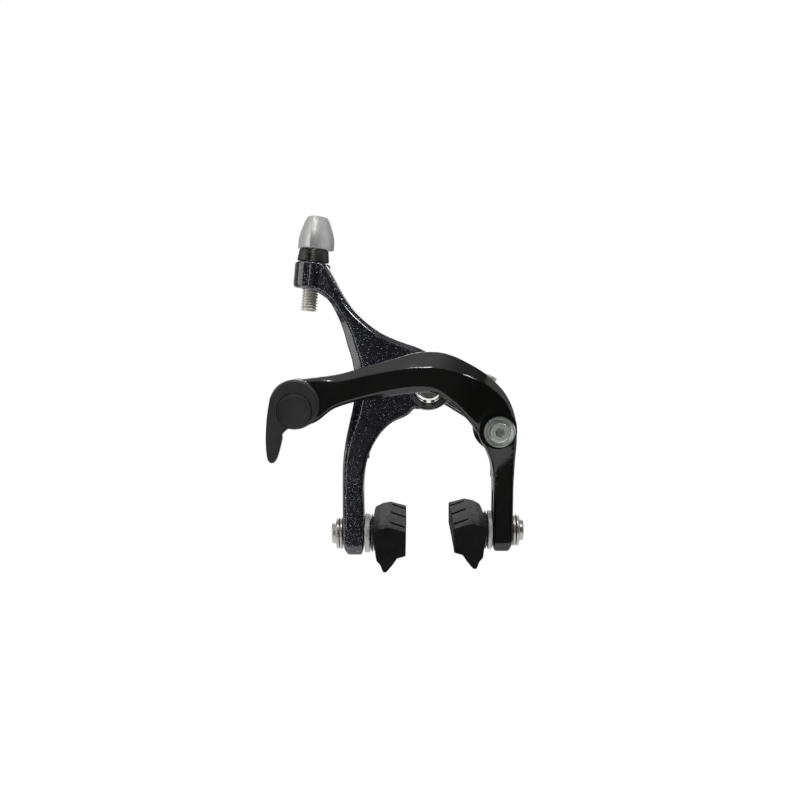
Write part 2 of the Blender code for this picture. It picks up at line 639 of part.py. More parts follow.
def cable_clamp_plate(surface):
    """Washer that presses the cable into the flange's groove."""
    plate = ring("cable_clamp_plate", M5 + GAP, 5.2, ANCHOR + Y_AXIS * (CLAMP_FACE + GAP),
                 ANCHOR + Y_AXIS * PLATE_BACK, edge=0.3)
    return finish(plate, surface, RELEASE_PIVOT)


def cable_clamp_bolt(surface):
    """Button-head anchor bolt, driven from behind."""
    tip = -26.5
    head_front = PLATE_BACK + GAP
    reach = head_front - tip
    section = [(0, 0), (M5 - 0.3, 0), (M5, 0.3), (M5, reach), (4.2, reach), (4.5, reach + 0.3),
               (4.5, reach + 3.0), (3.9, reach + 3.8), (0, reach + 3.8)]
    bolt = turned("cable_clamp_bolt", section, ANCHOR + Y_AXIS * tip, Y_AXIS)
    mouth = ANCHOR + Y_AXIS * (head_front + 5)
    cut(bolt, extruded("socket", hexagon(4.0), mouth, X_AXIS, Z_AXIS, 3.4))
    return finish(bolt, surface, ANCHOR)


# ------------------------------------------------------------------ brake pads

PAD_LENGTH = 54.0
PAD_BOW = 800.0                # radius of the pad's bend along the rim
PAD_PITCH = 0.03               # nose-down slope at which the pads are set
PAD_BOSS = 19.4                # outer end of the pad's round boss, from the middle plane
GROOVE_DEPTHS = (-38.5, -20.0, -1.5)
CUP_THICKNESS = {"left": 1.8, "right": 1.4}


def stud(side, out):
    """A point on a pad stud's axis, out millimetres from the caliper's middle plane."""
    return Vector((mirror_sign(side) * out, PAD_MIDDLE_Y, -PAD_REACH[side]))


def pad_outline():
    """End view of the right pad about its stud: friction face, top ridge, back and fin."""
    face = RIM_GAP / 2
    return [(face, 5.8), (13.8, 7.8), (17.0, 7.2), (19.6, 5.8), (19.2, 3.0),
            (18.4, -1.5), (18.0, -4.2), (16.7, -5.6), (15.6, -8.4), (14.4, -8.3),
            (12.2, -5.6), (10.6, -3.4), (face, -2.2)]


def brake_pad(side, surface, pivot):
    """Rubber block bent to the rim's radius, grooved across its friction face."""
    sign = mirror_sign(side)
    stations = 7
    loops = []
    for index in range(stations):
        along = (index / (stations - 1) - 0.5) * PAD_LENGTH
        lift = along * PAD_PITCH - along * along / (2 * PAD_BOW)
        end = 0.5 if index in (0, stations - 1) else 0.0
        middle = Vector((14.0, 0, 0.5))
        loop = []
        for x, z in pad_outline():
            corner = Vector((x, 0, z))
            corner += (middle - corner).normalized() * end * (x > RIM_GAP / 2)
            loop.append(Vector((sign * corner.x, PAD_MIDDLE_Y + along, corner.z + lift - PAD_REACH[side])))
        loops.append(loop)
    pad = skinned("pad_" + side, loops)
    boss = rod("boss", 6.2, stud(side, 15.0), stud(side, PAD_BOSS))
    unite(pad, boss)
    grooves = [groove_cutter(side, depth) for depth in GROOVE_DEPTHS]
    cut(pad, *grooves, rod("pocket", 5.0 + GAP, stud(side, 13.0), stud(side, 15.6)),
        rod("stud_bore", M6 + GAP, stud(side, 15.0), stud(side, 22.0)))
    return finish(pad, surface, pivot)


def groove_cutter(side, depth, width=2.6):
    """A water groove across the friction face and the inner half of the top."""
    low = RIM_GAP / 2 - 2
    floor = RIM_GAP / 2 + 1.5
    outline = [(low, -5), (floor, -5), (floor, 4.4), (13.2, 6.2), (13.2, 12), (low, 12)]
    outline = [(mirror_sign(side) * x, z - PAD_REACH[side]) for x, z in outline]
    return extruded("groove", outline, Y_AXIS * (depth + width / 2), X_AXIS, Z_AXIS, width)


def pad_post(side, surface, pivot):
    """Threaded stud with a round head held inside the rubber."""
    start = 13.0 + GAP
    section = [(0, 0), (5.0, 0), (5.0, 2.0), (M6, 2.0), (M6, 17.2), (M6 - 0.4, 17.6), (0, 17.6)]
    post = turned("pad_post_" + side, section, stud(side, start), X_AXIS * mirror_sign(side))
    return finish(post, surface, pivot)


def leg_faces(side):
    """Distances of a leg's inner and outer sides from the caliper's middle plane."""
    return (22.8, 30.05) if side == "left" else (22.55, 29.35)


def pad_washers(side, grey, dark, steel, pivot):
    """The domed and cupped washers inside the leg and the flat one outside it."""
    inner_face, outer_face = leg_faces(side)
    hole = M6 + GAP
    direction = X_AXIS * mirror_sign(side)
    cup_start = inner_face - GAP - CUP_THICKNESS[side]
    dome_start = PAD_BOSS + GAP
    dome_rise = cup_start - GAP - dome_start
    dome = [(hole, 0), (6.5, 0), (6.7, 0.2), (6.7, dome_rise - 0.3), (5.6, dome_rise), (hole, dome_rise)]
    made = [
        finish(turned("convex_washer_" + side, dome, stud(side, dome_start), direction), dark, pivot),
        finish(ring("concave_washer_" + side, hole, 6.9, stud(side, cup_start),
                    stud(side, inner_face - GAP), edge=0.25), grey, pivot),
        finish(ring("outer_washer_" + side, hole, 5.6, stud(side, outer_face + GAP),
                    stud(side, outer_face + GAP + 0.9), edge=0.2), steel, pivot),
    ]
    return made


def pad_nut(side, surface, pivot):
    """Low flanged nut with a domed hub and a hexagon socket."""
    start = leg_faces(side)[1] + 2 * GAP + 0.9
    thread = 31.2 - start
    hub = 3.65
    section = [(0, thread), (M6 + GAP, thread), (M6 + GAP, 0), (5.3, 0), (5.5, 0.2), (5.5, 0.8),
               (5.2, 1.0), (hub, 1.1), (hub, 2.2), (hub - 0.4, 2.6), (0, 2.6)]
    nut = turned("pad_nut_" + side, section, stud(side, start), X_AXIS * mirror_sign(side))
    return finish(nut, surface, pivot)


# --------------------------------------------------------------- the assembly

def surfaces():
    return {
        "gloss_black": material("gloss_black", (0.012, 0.012, 0.012), 0.0, 0.16),
        "flake_black": material("flake_black", (0.016, 0.016, 0.022), 0.1, 0.2),
        "satin_grey": material("satin_grey", (0.045, 0.045, 0.047), 0.3, 0.42),
        "satin_silver": material("satin_silver", (0.62, 0.62, 0.62), 0.9, 0.32),
        "steel": material("steel", (0.55, 0.54, 0.52), 1.0, 0.28),
        "chrome": material("chrome", (0.75, 0.76, 0.74), 1.0, 0.08),
        "blasted_grey": material("blasted_grey", (0.36, 0.36, 0.36), 0.8, 0.55),
        "dark_washer": material("dark_washer", (0.1, 0.1, 0.1), 0.6, 0.4),
        "nylon": material("nylon", (0.03, 0.03, 0.03), 0.0, 0.5),
        "rubber": material("rubber", (0.03, 0.03, 0.03), 0.0, 0.8),
    }


def brake_shoe(side, looks, arm_empty):
    """One pad with its stud and fasteners, on its own empties under an arm."""
    pivot = stud(side, 0)
    carried = pad_washers(side, looks["blasted_grey"], looks["dark_washer"], looks["steel"], pivot)
    carried.append(pad_nut(side, looks["steel"], pivot))
    carrier = gather("pad_slide_" + side, pivot, carried, arm_empty)
    gather("pad_turn_" + side, pivot,
           [brake_pad(side, looks["rubber"], pivot), pad_post(side, looks["steel"], pivot)], carrier)


def build():
    clear_scene()
    looks = surfaces()
    steel = looks["steel"]
    grey = looks["satin_grey"]
    mounting_bolt(looks["chrome"])
    sleeve_nut(steel)
    pivot_bracket(looks["gloss_black"])
    middle_washers(steel, looks["nylon"])
    side_pivot_bolt(looks["chrome"])
    return_spring(steel)

    left = gather("y_arm_pivot", CENTRE_PIVOT, [
        y_arm(looks["flake_black"]), adjuster_collar(grey),
        spring_slider("left", looks["nylon"], CENTRE_PIVOT)])
    gather("adjuster_turn", ADJUSTER_FOOT, [adjuster_cap(looks["satin_silver"])], left)
    gather("stem_slide", ADJUSTER_FOOT, [adjuster_stem(steel)], left)

    right = gather("c_arm_pivot", SIDE_PIVOT, [
        c_arm(looks["gloss_black"]), spring_slider("right", looks["nylon"], SIDE_PIVOT)])
    gather("centering_screw_turn", at_screw(0), [centering_screw(steel)], right)
    release = gather("quick_release_turn", RELEASE_PIVOT, [
        release_lever(grey), lever_cover(grey), cam_shaft(steel), cable_clamp_plate(steel)], right)
    gather("clamp_bolt_turn", ANCHOR, [cable_clamp_bolt(steel)], release)

    brake_shoe("left", looks, left)
    brake_shoe("right", looks, right)


build()
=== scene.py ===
"""Finished look of the dual-pivot rim brake caliper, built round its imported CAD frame.

Lengths below are in millimetres and become metres when a mesh is made. +Y points
into the fork, +Z is up, and the origin lies on the mounting bolt's axis.
"""
import json
import math
from collections import namedtuple

import bmesh
import bpy
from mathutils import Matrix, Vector


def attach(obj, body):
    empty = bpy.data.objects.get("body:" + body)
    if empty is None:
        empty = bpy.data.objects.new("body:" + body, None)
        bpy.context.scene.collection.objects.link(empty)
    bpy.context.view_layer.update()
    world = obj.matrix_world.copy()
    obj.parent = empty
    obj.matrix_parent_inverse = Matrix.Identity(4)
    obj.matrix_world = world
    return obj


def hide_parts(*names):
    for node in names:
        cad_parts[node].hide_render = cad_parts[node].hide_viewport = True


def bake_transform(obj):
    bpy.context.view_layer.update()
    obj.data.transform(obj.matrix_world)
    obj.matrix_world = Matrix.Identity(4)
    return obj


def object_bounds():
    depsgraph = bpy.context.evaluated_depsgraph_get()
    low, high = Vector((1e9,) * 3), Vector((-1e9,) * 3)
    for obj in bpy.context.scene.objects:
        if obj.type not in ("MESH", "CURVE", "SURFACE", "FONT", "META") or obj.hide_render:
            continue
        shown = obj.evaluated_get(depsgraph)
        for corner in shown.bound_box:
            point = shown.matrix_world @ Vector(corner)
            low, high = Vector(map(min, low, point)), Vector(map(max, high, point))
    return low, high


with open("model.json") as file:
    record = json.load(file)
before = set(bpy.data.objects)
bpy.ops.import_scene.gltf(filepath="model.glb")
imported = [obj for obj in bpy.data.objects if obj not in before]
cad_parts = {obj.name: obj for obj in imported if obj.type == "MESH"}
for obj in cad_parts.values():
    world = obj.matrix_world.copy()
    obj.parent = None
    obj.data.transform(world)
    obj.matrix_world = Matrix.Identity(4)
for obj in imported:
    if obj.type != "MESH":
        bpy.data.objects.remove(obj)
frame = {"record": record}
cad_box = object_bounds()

MM = 0.001
FINE = 96                      # facets round a turned piece
GAP = 0.3                      # air that the CAD frame keeps between touching pieces

# Driving dimensions, the same as the frame's
SIDE_PIVOT = Vector((24.4, 0.0, -15.1))
PAD_REACH = {"left": 51.6, "right": 50.4}
PAD_TRAVEL = 12.0
PAD_MIDDLE_Y = -19.0
RIM_GAP = 16.0
CABLE_Y = -14.5
ADJUSTER_FOOT = Vector((-42.7, CABLE_Y, 27.2))
ADJUSTER_TOP = Vector((-39.6, CABLE_Y, 60.6))
RELEASE_PIVOT = Vector((-45.4, 0.0, -5.0))
BRACKET_BACK = -2.3
BRACKET_FRONT = -8.0
WASHER_FRONT = -8.9
ARM_BACK = -9.2
Y_ARM_FRONT = -20.2
FRONT_SPAN = -36.5
SPAN_BACK = -26.8
LEG_FRONT = PAD_MIDDLE_Y - 6.6
LEG_BACK = PAD_MIDDLE_Y + 6.5
LEVER_BACK = FRONT_SPAN - GAP
LEVER_FRONT = LEVER_BACK - 3.9
COVER_POCKET = 0.9             # depth of the recess for the cover in the lever's face
SIDE_SEAT = -26.2
M6 = 2.9
M5 = 2.4
M4 = 1.9
BUSH = 4.4
CAM = 4.5
SPRING_WIRE = 0.8
COARSE_PITCH = 1.0             # M6 x 1
LEFT_SLIDER = Vector((-23.4, -8.1, -24.0))
RIGHT_SLIDER = Vector((24.6, -9.2, -30.5))

X_AXIS = Vector((1.0, 0.0, 0.0))
Y_AXIS = Vector((0.0, 1.0, 0.0))
Z_AXIS = Vector((0.0, 0.0, 1.0))
ORIGIN = Vector((0.0, 0.0, 0.0))
ADJUSTER_AXIS = (ADJUSTER_TOP - ADJUSTER_FOOT).normalized()
CENTRE_LINE = SIDE_PIVOT.normalized()
SCREW_AXIS = CENTRE_LINE.cross(Y_AXIS)
CONTACT_LIFT = 2.6             # the arms touch this far above the line of their pivots
CONTACT_GAP = 0.5              # air under the centering screw's foot
SCREW_FOOT = CENTRE_LINE * 16.8 + SCREW_AXIS * CONTACT_LIFT + Y_AXIS * -17.5
ANCHOR = RELEASE_PIVOT - Z_AXIS * 2.0
CLAMP_FACE = CABLE_Y - 1.4
PLATE_BACK = CLAMP_FACE + GAP + 2.0
FLANGE_FRONT = -21.6
COLLAR_FOOT = 17.6
COLLAR_TOP = COLLAR_FOOT + 4.1
CAP_FOOT = COLLAR_TOP + GAP
CAP_TOP = (ADJUSTER_TOP - ADJUSTER_FOOT).length
STEM_TOP = 27.0

Rib = namedtuple("Rib", "outer_x outer_z inner_x inner_z front back outer_bevel inner_bevel")

BODY_OF = {node: body for body, nodes in frame["record"]["behaviour"]["bodies"].items()
           for node in nodes}


# ---------------------------------------------------------------- mesh tools

def make_object(name, points, faces):
    """A closed mesh object from points in millimetres, its faces turned outwards."""
    mesh = bpy.data.meshes.new(name)
    mesh.from_pydata([Vector(point) * MM for point in points], [], faces)
    work = bmesh.new()
    work.from_mesh(mesh)
    bmesh.ops.recalc_face_normals(work, faces=work.faces)
    work.to_mesh(mesh)
    work.free()
    made = bpy.data.objects.new(name, mesh)
    bpy.context.collection.objects.link(made)
    return made


def apply_modifiers(piece):
    bpy.context.view_layer.update()
    depsgraph = bpy.context.evaluated_depsgraph_get()
    result = bpy.data.meshes.new_from_object(piece.evaluated_get(depsgraph))
    piece.modifiers.clear()
    piece.data = result


def combine(target, tool, operation):
    """Unite target with tool or cut it by tool, then drop the tool."""
    modifier = target.modifiers.new(operation.title(), 'BOOLEAN')
    modifier.operation = operation
    modifier.object = tool
    apply_modifiers(target)
    bpy.data.objects.remove(tool)


def unite(target, *tools):
    for tool in tools:
        combine(target, tool, 'UNION')


def cut(target, *tools):
    for tool in tools:
        combine(target, tool, 'DIFFERENCE')


def remelt(piece, grain, passes):
    """Re-skin a piece in even cells and relax it, which rounds its edges like a forging."""
    grain_now = grain
    remesh = piece.modifiers.new("Remesh", 'REMESH')
    remesh.mode = 'VOXEL'
    remesh.voxel_size = grain_now * MM
    relax = piece.modifiers.new("Relax", 'SMOOTH')
    relax.factor = 0.5
    relax.iterations = passes
    apply_modifiers(piece)


def place(piece, node, look, crease_degrees=34):
    """Finish a piece and let it stand for a CAD node, on that node's body."""
    piece.data.materials.clear()
    piece.data.materials.append(look)
    piece.data.shade_smooth()
    piece.data.set_sharp_from_angle(angle=math.radians(crease_degrees))
    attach(piece, BODY_OF[node])
    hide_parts(node)


# ---------------------------------------------------------------- shape tools

def skinned(name, loops):
    """Skin a row of loops of equal length, with the end loops as caps."""
    size = len(loops[0])
    points = [point for loop in loops for point in loop]
    faces = []
    for row in range(len(loops) - 1):
        this = row * size
        following = this + size
        for corner in range(size):
            after = (corner + 1) % size
            faces.append((this + corner, this + after, following + after, following + corner))
    faces.append(tuple(range(size)))
    faces.append(tuple(range(len(points) - size, len(points))))
    return make_object(name, points, faces)


def rounded(section, radius, steps=3):
    """Replace the off-axis corners of a closed half section by small arcs."""
    result = []
    count = len(section)
    for index, spot in enumerate(section):
        here = Vector(spot)
        before = Vector(section[index - 1]) - here
        after = Vector(section[(index + 1) % count]) - here
        reach = min(radius, before.length * 0.45, after.length * 0.45)
        if here.x < 1e-6 or reach < 0.02:
            result.append(tuple(here))
            continue
        start = here + before.normalized() * reach
        end = here + after.normalized() * reach
        for step in range(steps + 1):
            t = step / steps
            result.append(tuple(start.lerp(here, t).lerp(here.lerp(end, t), t)))
    return result


def turned(name, section, base, axis, edge=0.0, sides=FINE):
    """Turn a half section of (radius, height) points about an axis through base."""
    if edge:
        section = rounded(section, edge)
    turn = Vector(axis).to_track_quat('Z', 'X').to_matrix()
    points = []
    rings = []
    for radius, height in section:
        count = sides if radius > 1e-6 else 1
        first = len(points)
        for step in range(count):
            angle = math.tau * step / sides
            spot = Vector((radius * math.cos(angle), radius * math.sin(angle), height))
            points.append(Vector(base) + turn @ spot)
        rings.append([first + step % count for step in range(sides)])
    faces = []
    for row, ring_points in enumerate(rings):
        following = rings[(row + 1) % len(rings)]
        for step in range(sides):
            after = (step + 1) % sides
            corners = (ring_points[step], ring_points[after], following[after], following[step])
            face = tuple(dict.fromkeys(corners))
            if len(face) > 2:
                faces.append(face)
    return make_object(name, points, faces)


def rod(name, radius, start, end, sides=FINE):
    start = Vector(start)
    length = (Vector(end) - start).length
    section = [(0, 0), (radius, 0), (radius, length), (0, length)]
    return turned(name, section, start, Vector(end) - start, sides=sides)


def washer(name, inner, outer, start, end, edge=0.2):
    start = Vector(start)
    length = (Vector(end) - start).length
    section = [(inner, 0), (outer, 0), (outer, length), (inner, length)]
    return turned(name, section, start, Vector(end) - start, edge=edge)


def threaded(name, length, base, axis, radius=M6, pitch=COARSE_PITCH, bore=0.0, sides=48):
    """A rod with a real helical thread, chamfered at both ends and bored if asked."""
    depth = 0.54 * pitch
    per_turn = 8
    rows = int(length / pitch * per_turn)
    turn = Vector(axis).to_track_quat('Z', 'X').to_matrix()

    def ring_of(height, flat=None):
        loop = []
        for step in range(sides):
            angle = math.tau * step / sides
            phase = (height / pitch - step / sides) % 1.0
            ridge = min(1.0, max(0.0, 1.25 - 2.5 * abs(phase - 0.5)))
            reach = radius - depth * (1.0 - ridge)
            reach = min(reach, radius - depth + min(height, length - height) * 0.9)
            if flat is not None:
                reach = flat
            spot = Vector((reach * math.cos(angle), reach * math.sin(angle), height))
            loop.append(Vector(base) + turn @ spot)
        return loop

    loops = [ring_of(length * row / rows) for row in range(rows + 1)]
    if not bore:
        return skinned(name, loops)
    loops.append(ring_of(length, bore))
    loops.append(ring_of(0.0, bore))
    size = sides
    points = [point for loop in loops for point in loop]
    faces = []
    for row in range(len(loops)):
        this = row * size
        following = (row + 1) % len(loops) * size
        for corner in range(size):
            after = (corner + 1) % size
            faces.append((this + corner, this + after, following + after, following + corner))
    return make_object(name, points, faces)


def extruded(name, outline, base, across, up, length):
    """Extrude a flat outline of (across, up) points along across x up."""
    along = across.cross(up) * length
    near = [Vector(base) + across * a + up * b for a, b in outline]
    return skinned(name, [near, [point + along for point in near]])


def circle(radius, sides=FINE):
    turns = [math.tau * step / sides for step in range(sides)]
    return [(radius * math.cos(t), radius * math.sin(t)) for t in turns]


def hexagon(across_flats):
    return circle(across_flats / math.sqrt(3), sides=6)


def stadium(low, high, radius, half=24):
    """An upright slot outline whose end arcs are centred at heights low and high."""
    turns = [math.pi * step / half for step in range(half + 1)]
    upper = [(radius * math.cos(t), high + radius * math.sin(t)) for t in turns]
    lower = [(-radius * math.cos(t), low - radius * math.sin(t)) for t in turns]
    return upper + lower


def smoothed(rows, steps):
    """Pass a Catmull-Rom curve through rows of numbers, steps points to each gap."""
    padded = [rows[0]] + list(rows) + [rows[-1]]
    result = []
    for a, b, c, d in zip(padded, padded[1:], padded[2:], padded[3:]):
        for step in range(steps):
            t = step / steps
            result.append([0.5 * (2 * q + (r - p) * t + (2 * p - 5 * q + 4 * r - s) * t * t
                                  + (3 * q - p - 3 * r + s) * t * t * t)
                           for p, q, r, s in zip(a, b, c, d)])
    result.append(list(rows[-1]))
    return result


def arm_section(rib, back_bevel=0.8, slope=0.75):
    """The eight-cornered cross-section of a forged arm at one rib."""
    outer = Vector((rib.outer_x, 0, rib.outer_z))
    inner = Vector((rib.inner_x, 0, rib.inner_z))
    out = (outer - inner).normalized()
    front = Y_AXIS * rib.front
    back = Y_AXIS * rib.back
    return [
        outer - out * back_bevel + back,
        outer + back - Y_AXIS * back_bevel,
        outer + front + Y_AXIS * rib.outer_bevel * slope,
        outer - out * rib.outer_bevel + front,
        inner + out * rib.inner_bevel + front,
        inner + front + Y_AXIS * rib.inner_bevel * slope,
        inner + back - Y_AXIS * back_bevel,
        inner + out * back_bevel + back,
    ]


def lofted_arm(name, ribs, steps=10):
    rows = [Rib(*row) for row in smoothed(ribs, steps)]
    return skinned(name, [arm_section(row) for row in rows])


def socket(spot, direction, across_flats, depth):
    """A hexagon socket cutter sunk depth below spot, open towards direction."""
    side = direction.orthogonal().normalized()
    up = direction.cross(side)
    base = spot - direction * depth
    return extruded("socket", hexagon(across_flats), base, side, up, depth + 2)


# ------------------------------------------------------------------ materials

def surface(name, dark, light, metallic, rough, grain_size, bump, coat=0.0, gloss=0.5):
    """A procedural finish: two-scale mottling, uneven roughness and a fine raised grain.

    rough is (lowest, highest); grain_size is the grain's width in millimetres and bump
    its height in hundredths of a millimetre; gloss is the strength of the plain reflection.
    """
    made = bpy.data.materials.new(name)
    made.use_nodes = True
    nodes = made.node_tree.nodes
    link = made.node_tree.links.new
    shader = nodes["Principled BSDF"]
    shader.inputs["Metallic"].default_value = metallic
    shader.inputs["Coat Weight"].default_value = coat
    shader.inputs["Coat Roughness"].default_value = 0.03
    shader.inputs["Specular IOR Level"].default_value = gloss
    spot = nodes.new("ShaderNodeTexCoord")

    def noise(size, detail):
        made_noise = nodes.new("ShaderNodeTexNoise")
        made_noise.inputs["Scale"].default_value = 1.0 / (size * MM)
        made_noise.inputs["Detail"].default_value = detail
        link(spot.outputs["Object"], made_noise.inputs["Vector"])
        return made_noise.outputs["Fac"]

    def spread(value, low, high):
        scale = nodes.new("ShaderNodeMapRange")
        scale.inputs["From Min"].default_value = 0.3
        scale.inputs["From Max"].default_value = 0.7
        scale.inputs["To Min"].default_value = low
        scale.inputs["To Max"].default_value = high
        link(value, scale.inputs["Value"])
        return scale.outputs["Result"]

    tint = nodes.new("ShaderNodeMix")
    tint.data_type = 'RGBA'
    tint.inputs["A"].default_value = (*dark, 1.0)
    tint.inputs["B"].default_value = (*light, 1.0)
    link(spread(noise(grain_size * 9, 4), 0.0, 1.0), tint.inputs["Factor"])
    link(tint.outputs["Result"], shader.inputs["Base Color"])
    link(spread(noise(grain_size * 5, 3), *rough), shader.inputs["Roughness"])
    raised = nodes.new("ShaderNodeBump")
    raised.inputs["Strength"].default_value = 1.0
    raised.inputs["Distance"].default_value = bump * 0.01 * MM
    link(noise(grain_size, 2), raised.inputs["Height"])
    link(raised.outputs["Normal"], shader.inputs["Normal"])
    return made


def add_flake(made, size, share, tint):
    """Scatter small metal flakes, each tipped its own way, in a paint.

    size is a flake's width in millimetres and share the part of the paint they cover.
    """
    nodes = made.node_tree.nodes
    link = made.node_tree.links.new
    shader = nodes["Principled BSDF"]
    tilt = 0.45
    spot = nodes.new("ShaderNodeTexCoord")
    cells = nodes.new("ShaderNodeTexVoronoi")
    cells.inputs["Scale"].default_value = 1.0 / (size * MM)
    link(spot.outputs["Object"], cells.inputs["Vector"])
    apart = nodes.new("ShaderNodeSeparateColor")
    link(cells.outputs["Color"], apart.inputs["Color"])
    chosen = nodes.new("ShaderNodeMath")
    chosen.operation = 'LESS_THAN'
    chosen.inputs[1].default_value = share
    link(apart.outputs["Red"], chosen.inputs[0])
    paint = shader.inputs["Base Color"].links[0].from_socket
    mixed = nodes.new("ShaderNodeMix")
    mixed.data_type = 'RGBA'
    mixed.inputs["B"].default_value = (*tint, 1.0)
    link(chosen.outputs["Value"], mixed.inputs["Factor"])
    link(paint, mixed.inputs["A"])
    link(mixed.outputs["Result"], shader.inputs["Base Color"])
    link(chosen.outputs["Value"], shader.inputs["Metallic"])
    tip = nodes.new("ShaderNodeVectorMath")
    tip.operation = 'MULTIPLY_ADD'
    tip.inputs[1].default_value = (2 * tilt, 2 * tilt, 2 * tilt)
    tip.inputs[2].default_value = (-tilt, -tilt, -tilt)
    link(cells.outputs["Color"], tip.inputs[0])
    normal = shader.inputs["Normal"].links[0].from_socket
    leaning = nodes.new("ShaderNodeVectorMath")
    leaning.operation = 'MULTIPLY_ADD'
    link(tip.outputs["Vector"], leaning.inputs[0])
    link(chosen.outputs["Value"], leaning.inputs[1])
    link(normal, leaning.inputs[2])
    straight = nodes.new("ShaderNodeVectorMath")
    straight.operation = 'NORMALIZE'
    link(leaning.outputs["Vector"], straight.inputs[0])
    link(straight.outputs["Vector"], shader.inputs["Normal"])
    link(normal, shader.inputs["Coat Normal"])
    return made


LOOKS = {
    "gloss_black": surface("gloss_black", (0.004, 0.004, 0.004), (0.007, 0.007, 0.006), 0.0,
                           (0.07, 0.13), 0.9, 0.05, coat=0.1),
    "flake_black": add_flake(
        surface("flake_black", (0.004, 0.004, 0.006), (0.008, 0.008, 0.012), 0.0,
                (0.14, 0.22), 0.9, 0.05, coat=1.0), 0.13, 0.05, (0.29, 0.31, 0.38)),
    "satin_grey": surface("satin_grey", (0.014, 0.014, 0.014), (0.020, 0.020, 0.020), 0.0,
                          (0.36, 0.46), 0.25, 0.5),
    "satin_silver": surface("satin_silver", (0.56, 0.56, 0.56), (0.64, 0.64, 0.63), 0.5,
                            (0.38, 0.48), 0.3, 0.4),
    "steel": surface("steel", (0.32, 0.31, 0.29), (0.46, 0.45, 0.42), 0.9, (0.26, 0.38), 0.35, 0.3),
    "chrome": surface("chrome", (0.62, 0.64, 0.61), (0.74, 0.75, 0.72), 1.0, (0.07, 0.14), 0.8, 0.2),
    "zinc": surface("zinc", (0.54, 0.59, 0.54), (0.70, 0.74, 0.69), 0.5, (0.18, 0.30), 0.3, 0.5),
    "plated": surface("plated", (0.66, 0.64, 0.60), (0.78, 0.76, 0.72), 0.45, (0.24, 0.34), 0.3, 0.4),
    "blasted_grey": surface("blasted_grey", (0.40, 0.40, 0.39), (0.54, 0.54, 0.53), 0.5,
                            (0.5, 0.62), 0.18, 1.5),
    "dark_washer": surface("dark_washer", (0.06, 0.06, 0.06), (0.12, 0.12, 0.115), 0.7,
                           (0.34, 0.46), 0.25, 0.6),
    "nylon": surface("nylon", (0.016, 0.016, 0.017), (0.026, 0.026, 0.027), 0.0, (0.42, 0.55), 0.3, 0.6),
    "rubber": surface("rubber", (0.007, 0.007, 0.007), (0.012, 0.012, 0.012), 0.0,
                      (0.50, 0.64), 0.35, 1.6, gloss=0.05),
}


# ------------------------------------------------------------ fixed middle part

def spring_route(steps=8):
    """The wire's middle line: slider, bracket groove under both pivots, slider."""
    groove = BRACKET_BACK - 1.0
    turns = [LEFT_SLIDER - Z_AXIS * 3.2, LEFT_SLIDER + Z_AXIS * 2.6,
             Vector((-20.0, -6.4, -15.6)), Vector((-12.6, -4.4, -8.6)),
             Vector((-6.0, groove, -5.2)), Vector((0.6, groove, -5.2)),
             Vector((7.0, groove, -5.2)), Vector((13.0, groove, -8.6)),
             Vector((17.8, groove, -13.8)), Vector((20.2, groove, -19.6)),
             Vector((22.8, -5.8, -24.8)),
             RIGHT_SLIDER + Z_AXIS * 2.6, RIGHT_SLIDER - Z_AXIS * 3.2]
    return [Vector(row) for row in smoothed(turns, steps)]


def wire(name, route, radius, sides=20):
    """A round tube along a route, closed at both ends."""
    loops = []
    for index, spot in enumerate(route):
        ahead = route[min(index + 1, len(route) - 1)]
        behind = route[max(index - 1, 0)]
        heading = (ahead - behind).normalized()
        side = heading.cross(Y_AXIS).normalized()
        lift = side.cross(heading)
        loops.append([spot + side * a + lift * b for a, b in circle(radius, sides)])
    return skinned(name, loops)


def return_spring():
    """The spring wire in two halves, each bending from the bracket to its arm's shoe."""
    route = spring_route()
    middle = len(route) // 2
    halves = (("left", route[:middle + 1], "y_arm", Vector((-9.0, 0, -6.6)), LEFT_SLIDER),
              ("right", route[middle:], "c_arm", Vector((17.0, 0, -18.6)), RIGHT_SLIDER))
    for side, path, arm, start, end in halves:
        half = wire("spring_wire_" + side, path, SPRING_WIRE)
        half.data.materials.append(LOOKS["steel"])
        half.data.shade_smooth()
        end = Vector((end.x, 0, end.z + 2.6))
        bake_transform(half)
        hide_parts("return_spring")


def pivot_bracket():
    """The rear plate that joins both pivots, grooved behind for the spring wire."""
    above = SCREW_AXIS * 6.6
    below = -SCREW_AXIS * 2.4
    corners = [above, SIDE_PIVOT + above, SIDE_PIVOT + below, below]
    web = [(corner.x, corner.z) for corner in corners]
    base = Y_AXIS * BRACKET_BACK
    plate = extruded("bracket_plate", web, base - Y_AXIS * 0.02, X_AXIS, Z_AXIS,
                     BRACKET_BACK - BRACKET_FRONT - 0.04)
    unite(plate, rod("lobe", 8.6, base, Y_AXIS * BRACKET_FRONT),
          rod("lobe", 8.0, SIDE_PIVOT + base, SIDE_PIVOT + Y_AXIS * BRACKET_FRONT))
    remelt(plate, 0.3, 4)
    for spot in (ORIGIN, SIDE_PIVOT):
        cut(plate, rod("bore", M6 + GAP, spot + Y_AXIS, spot - Y_AXIS * 10))
    cut(plate, wire("groove", spring_route(3), SPRING_WIRE + GAP, 16))
    place(plate, "pivot_bracket", LOOKS["gloss_black"])


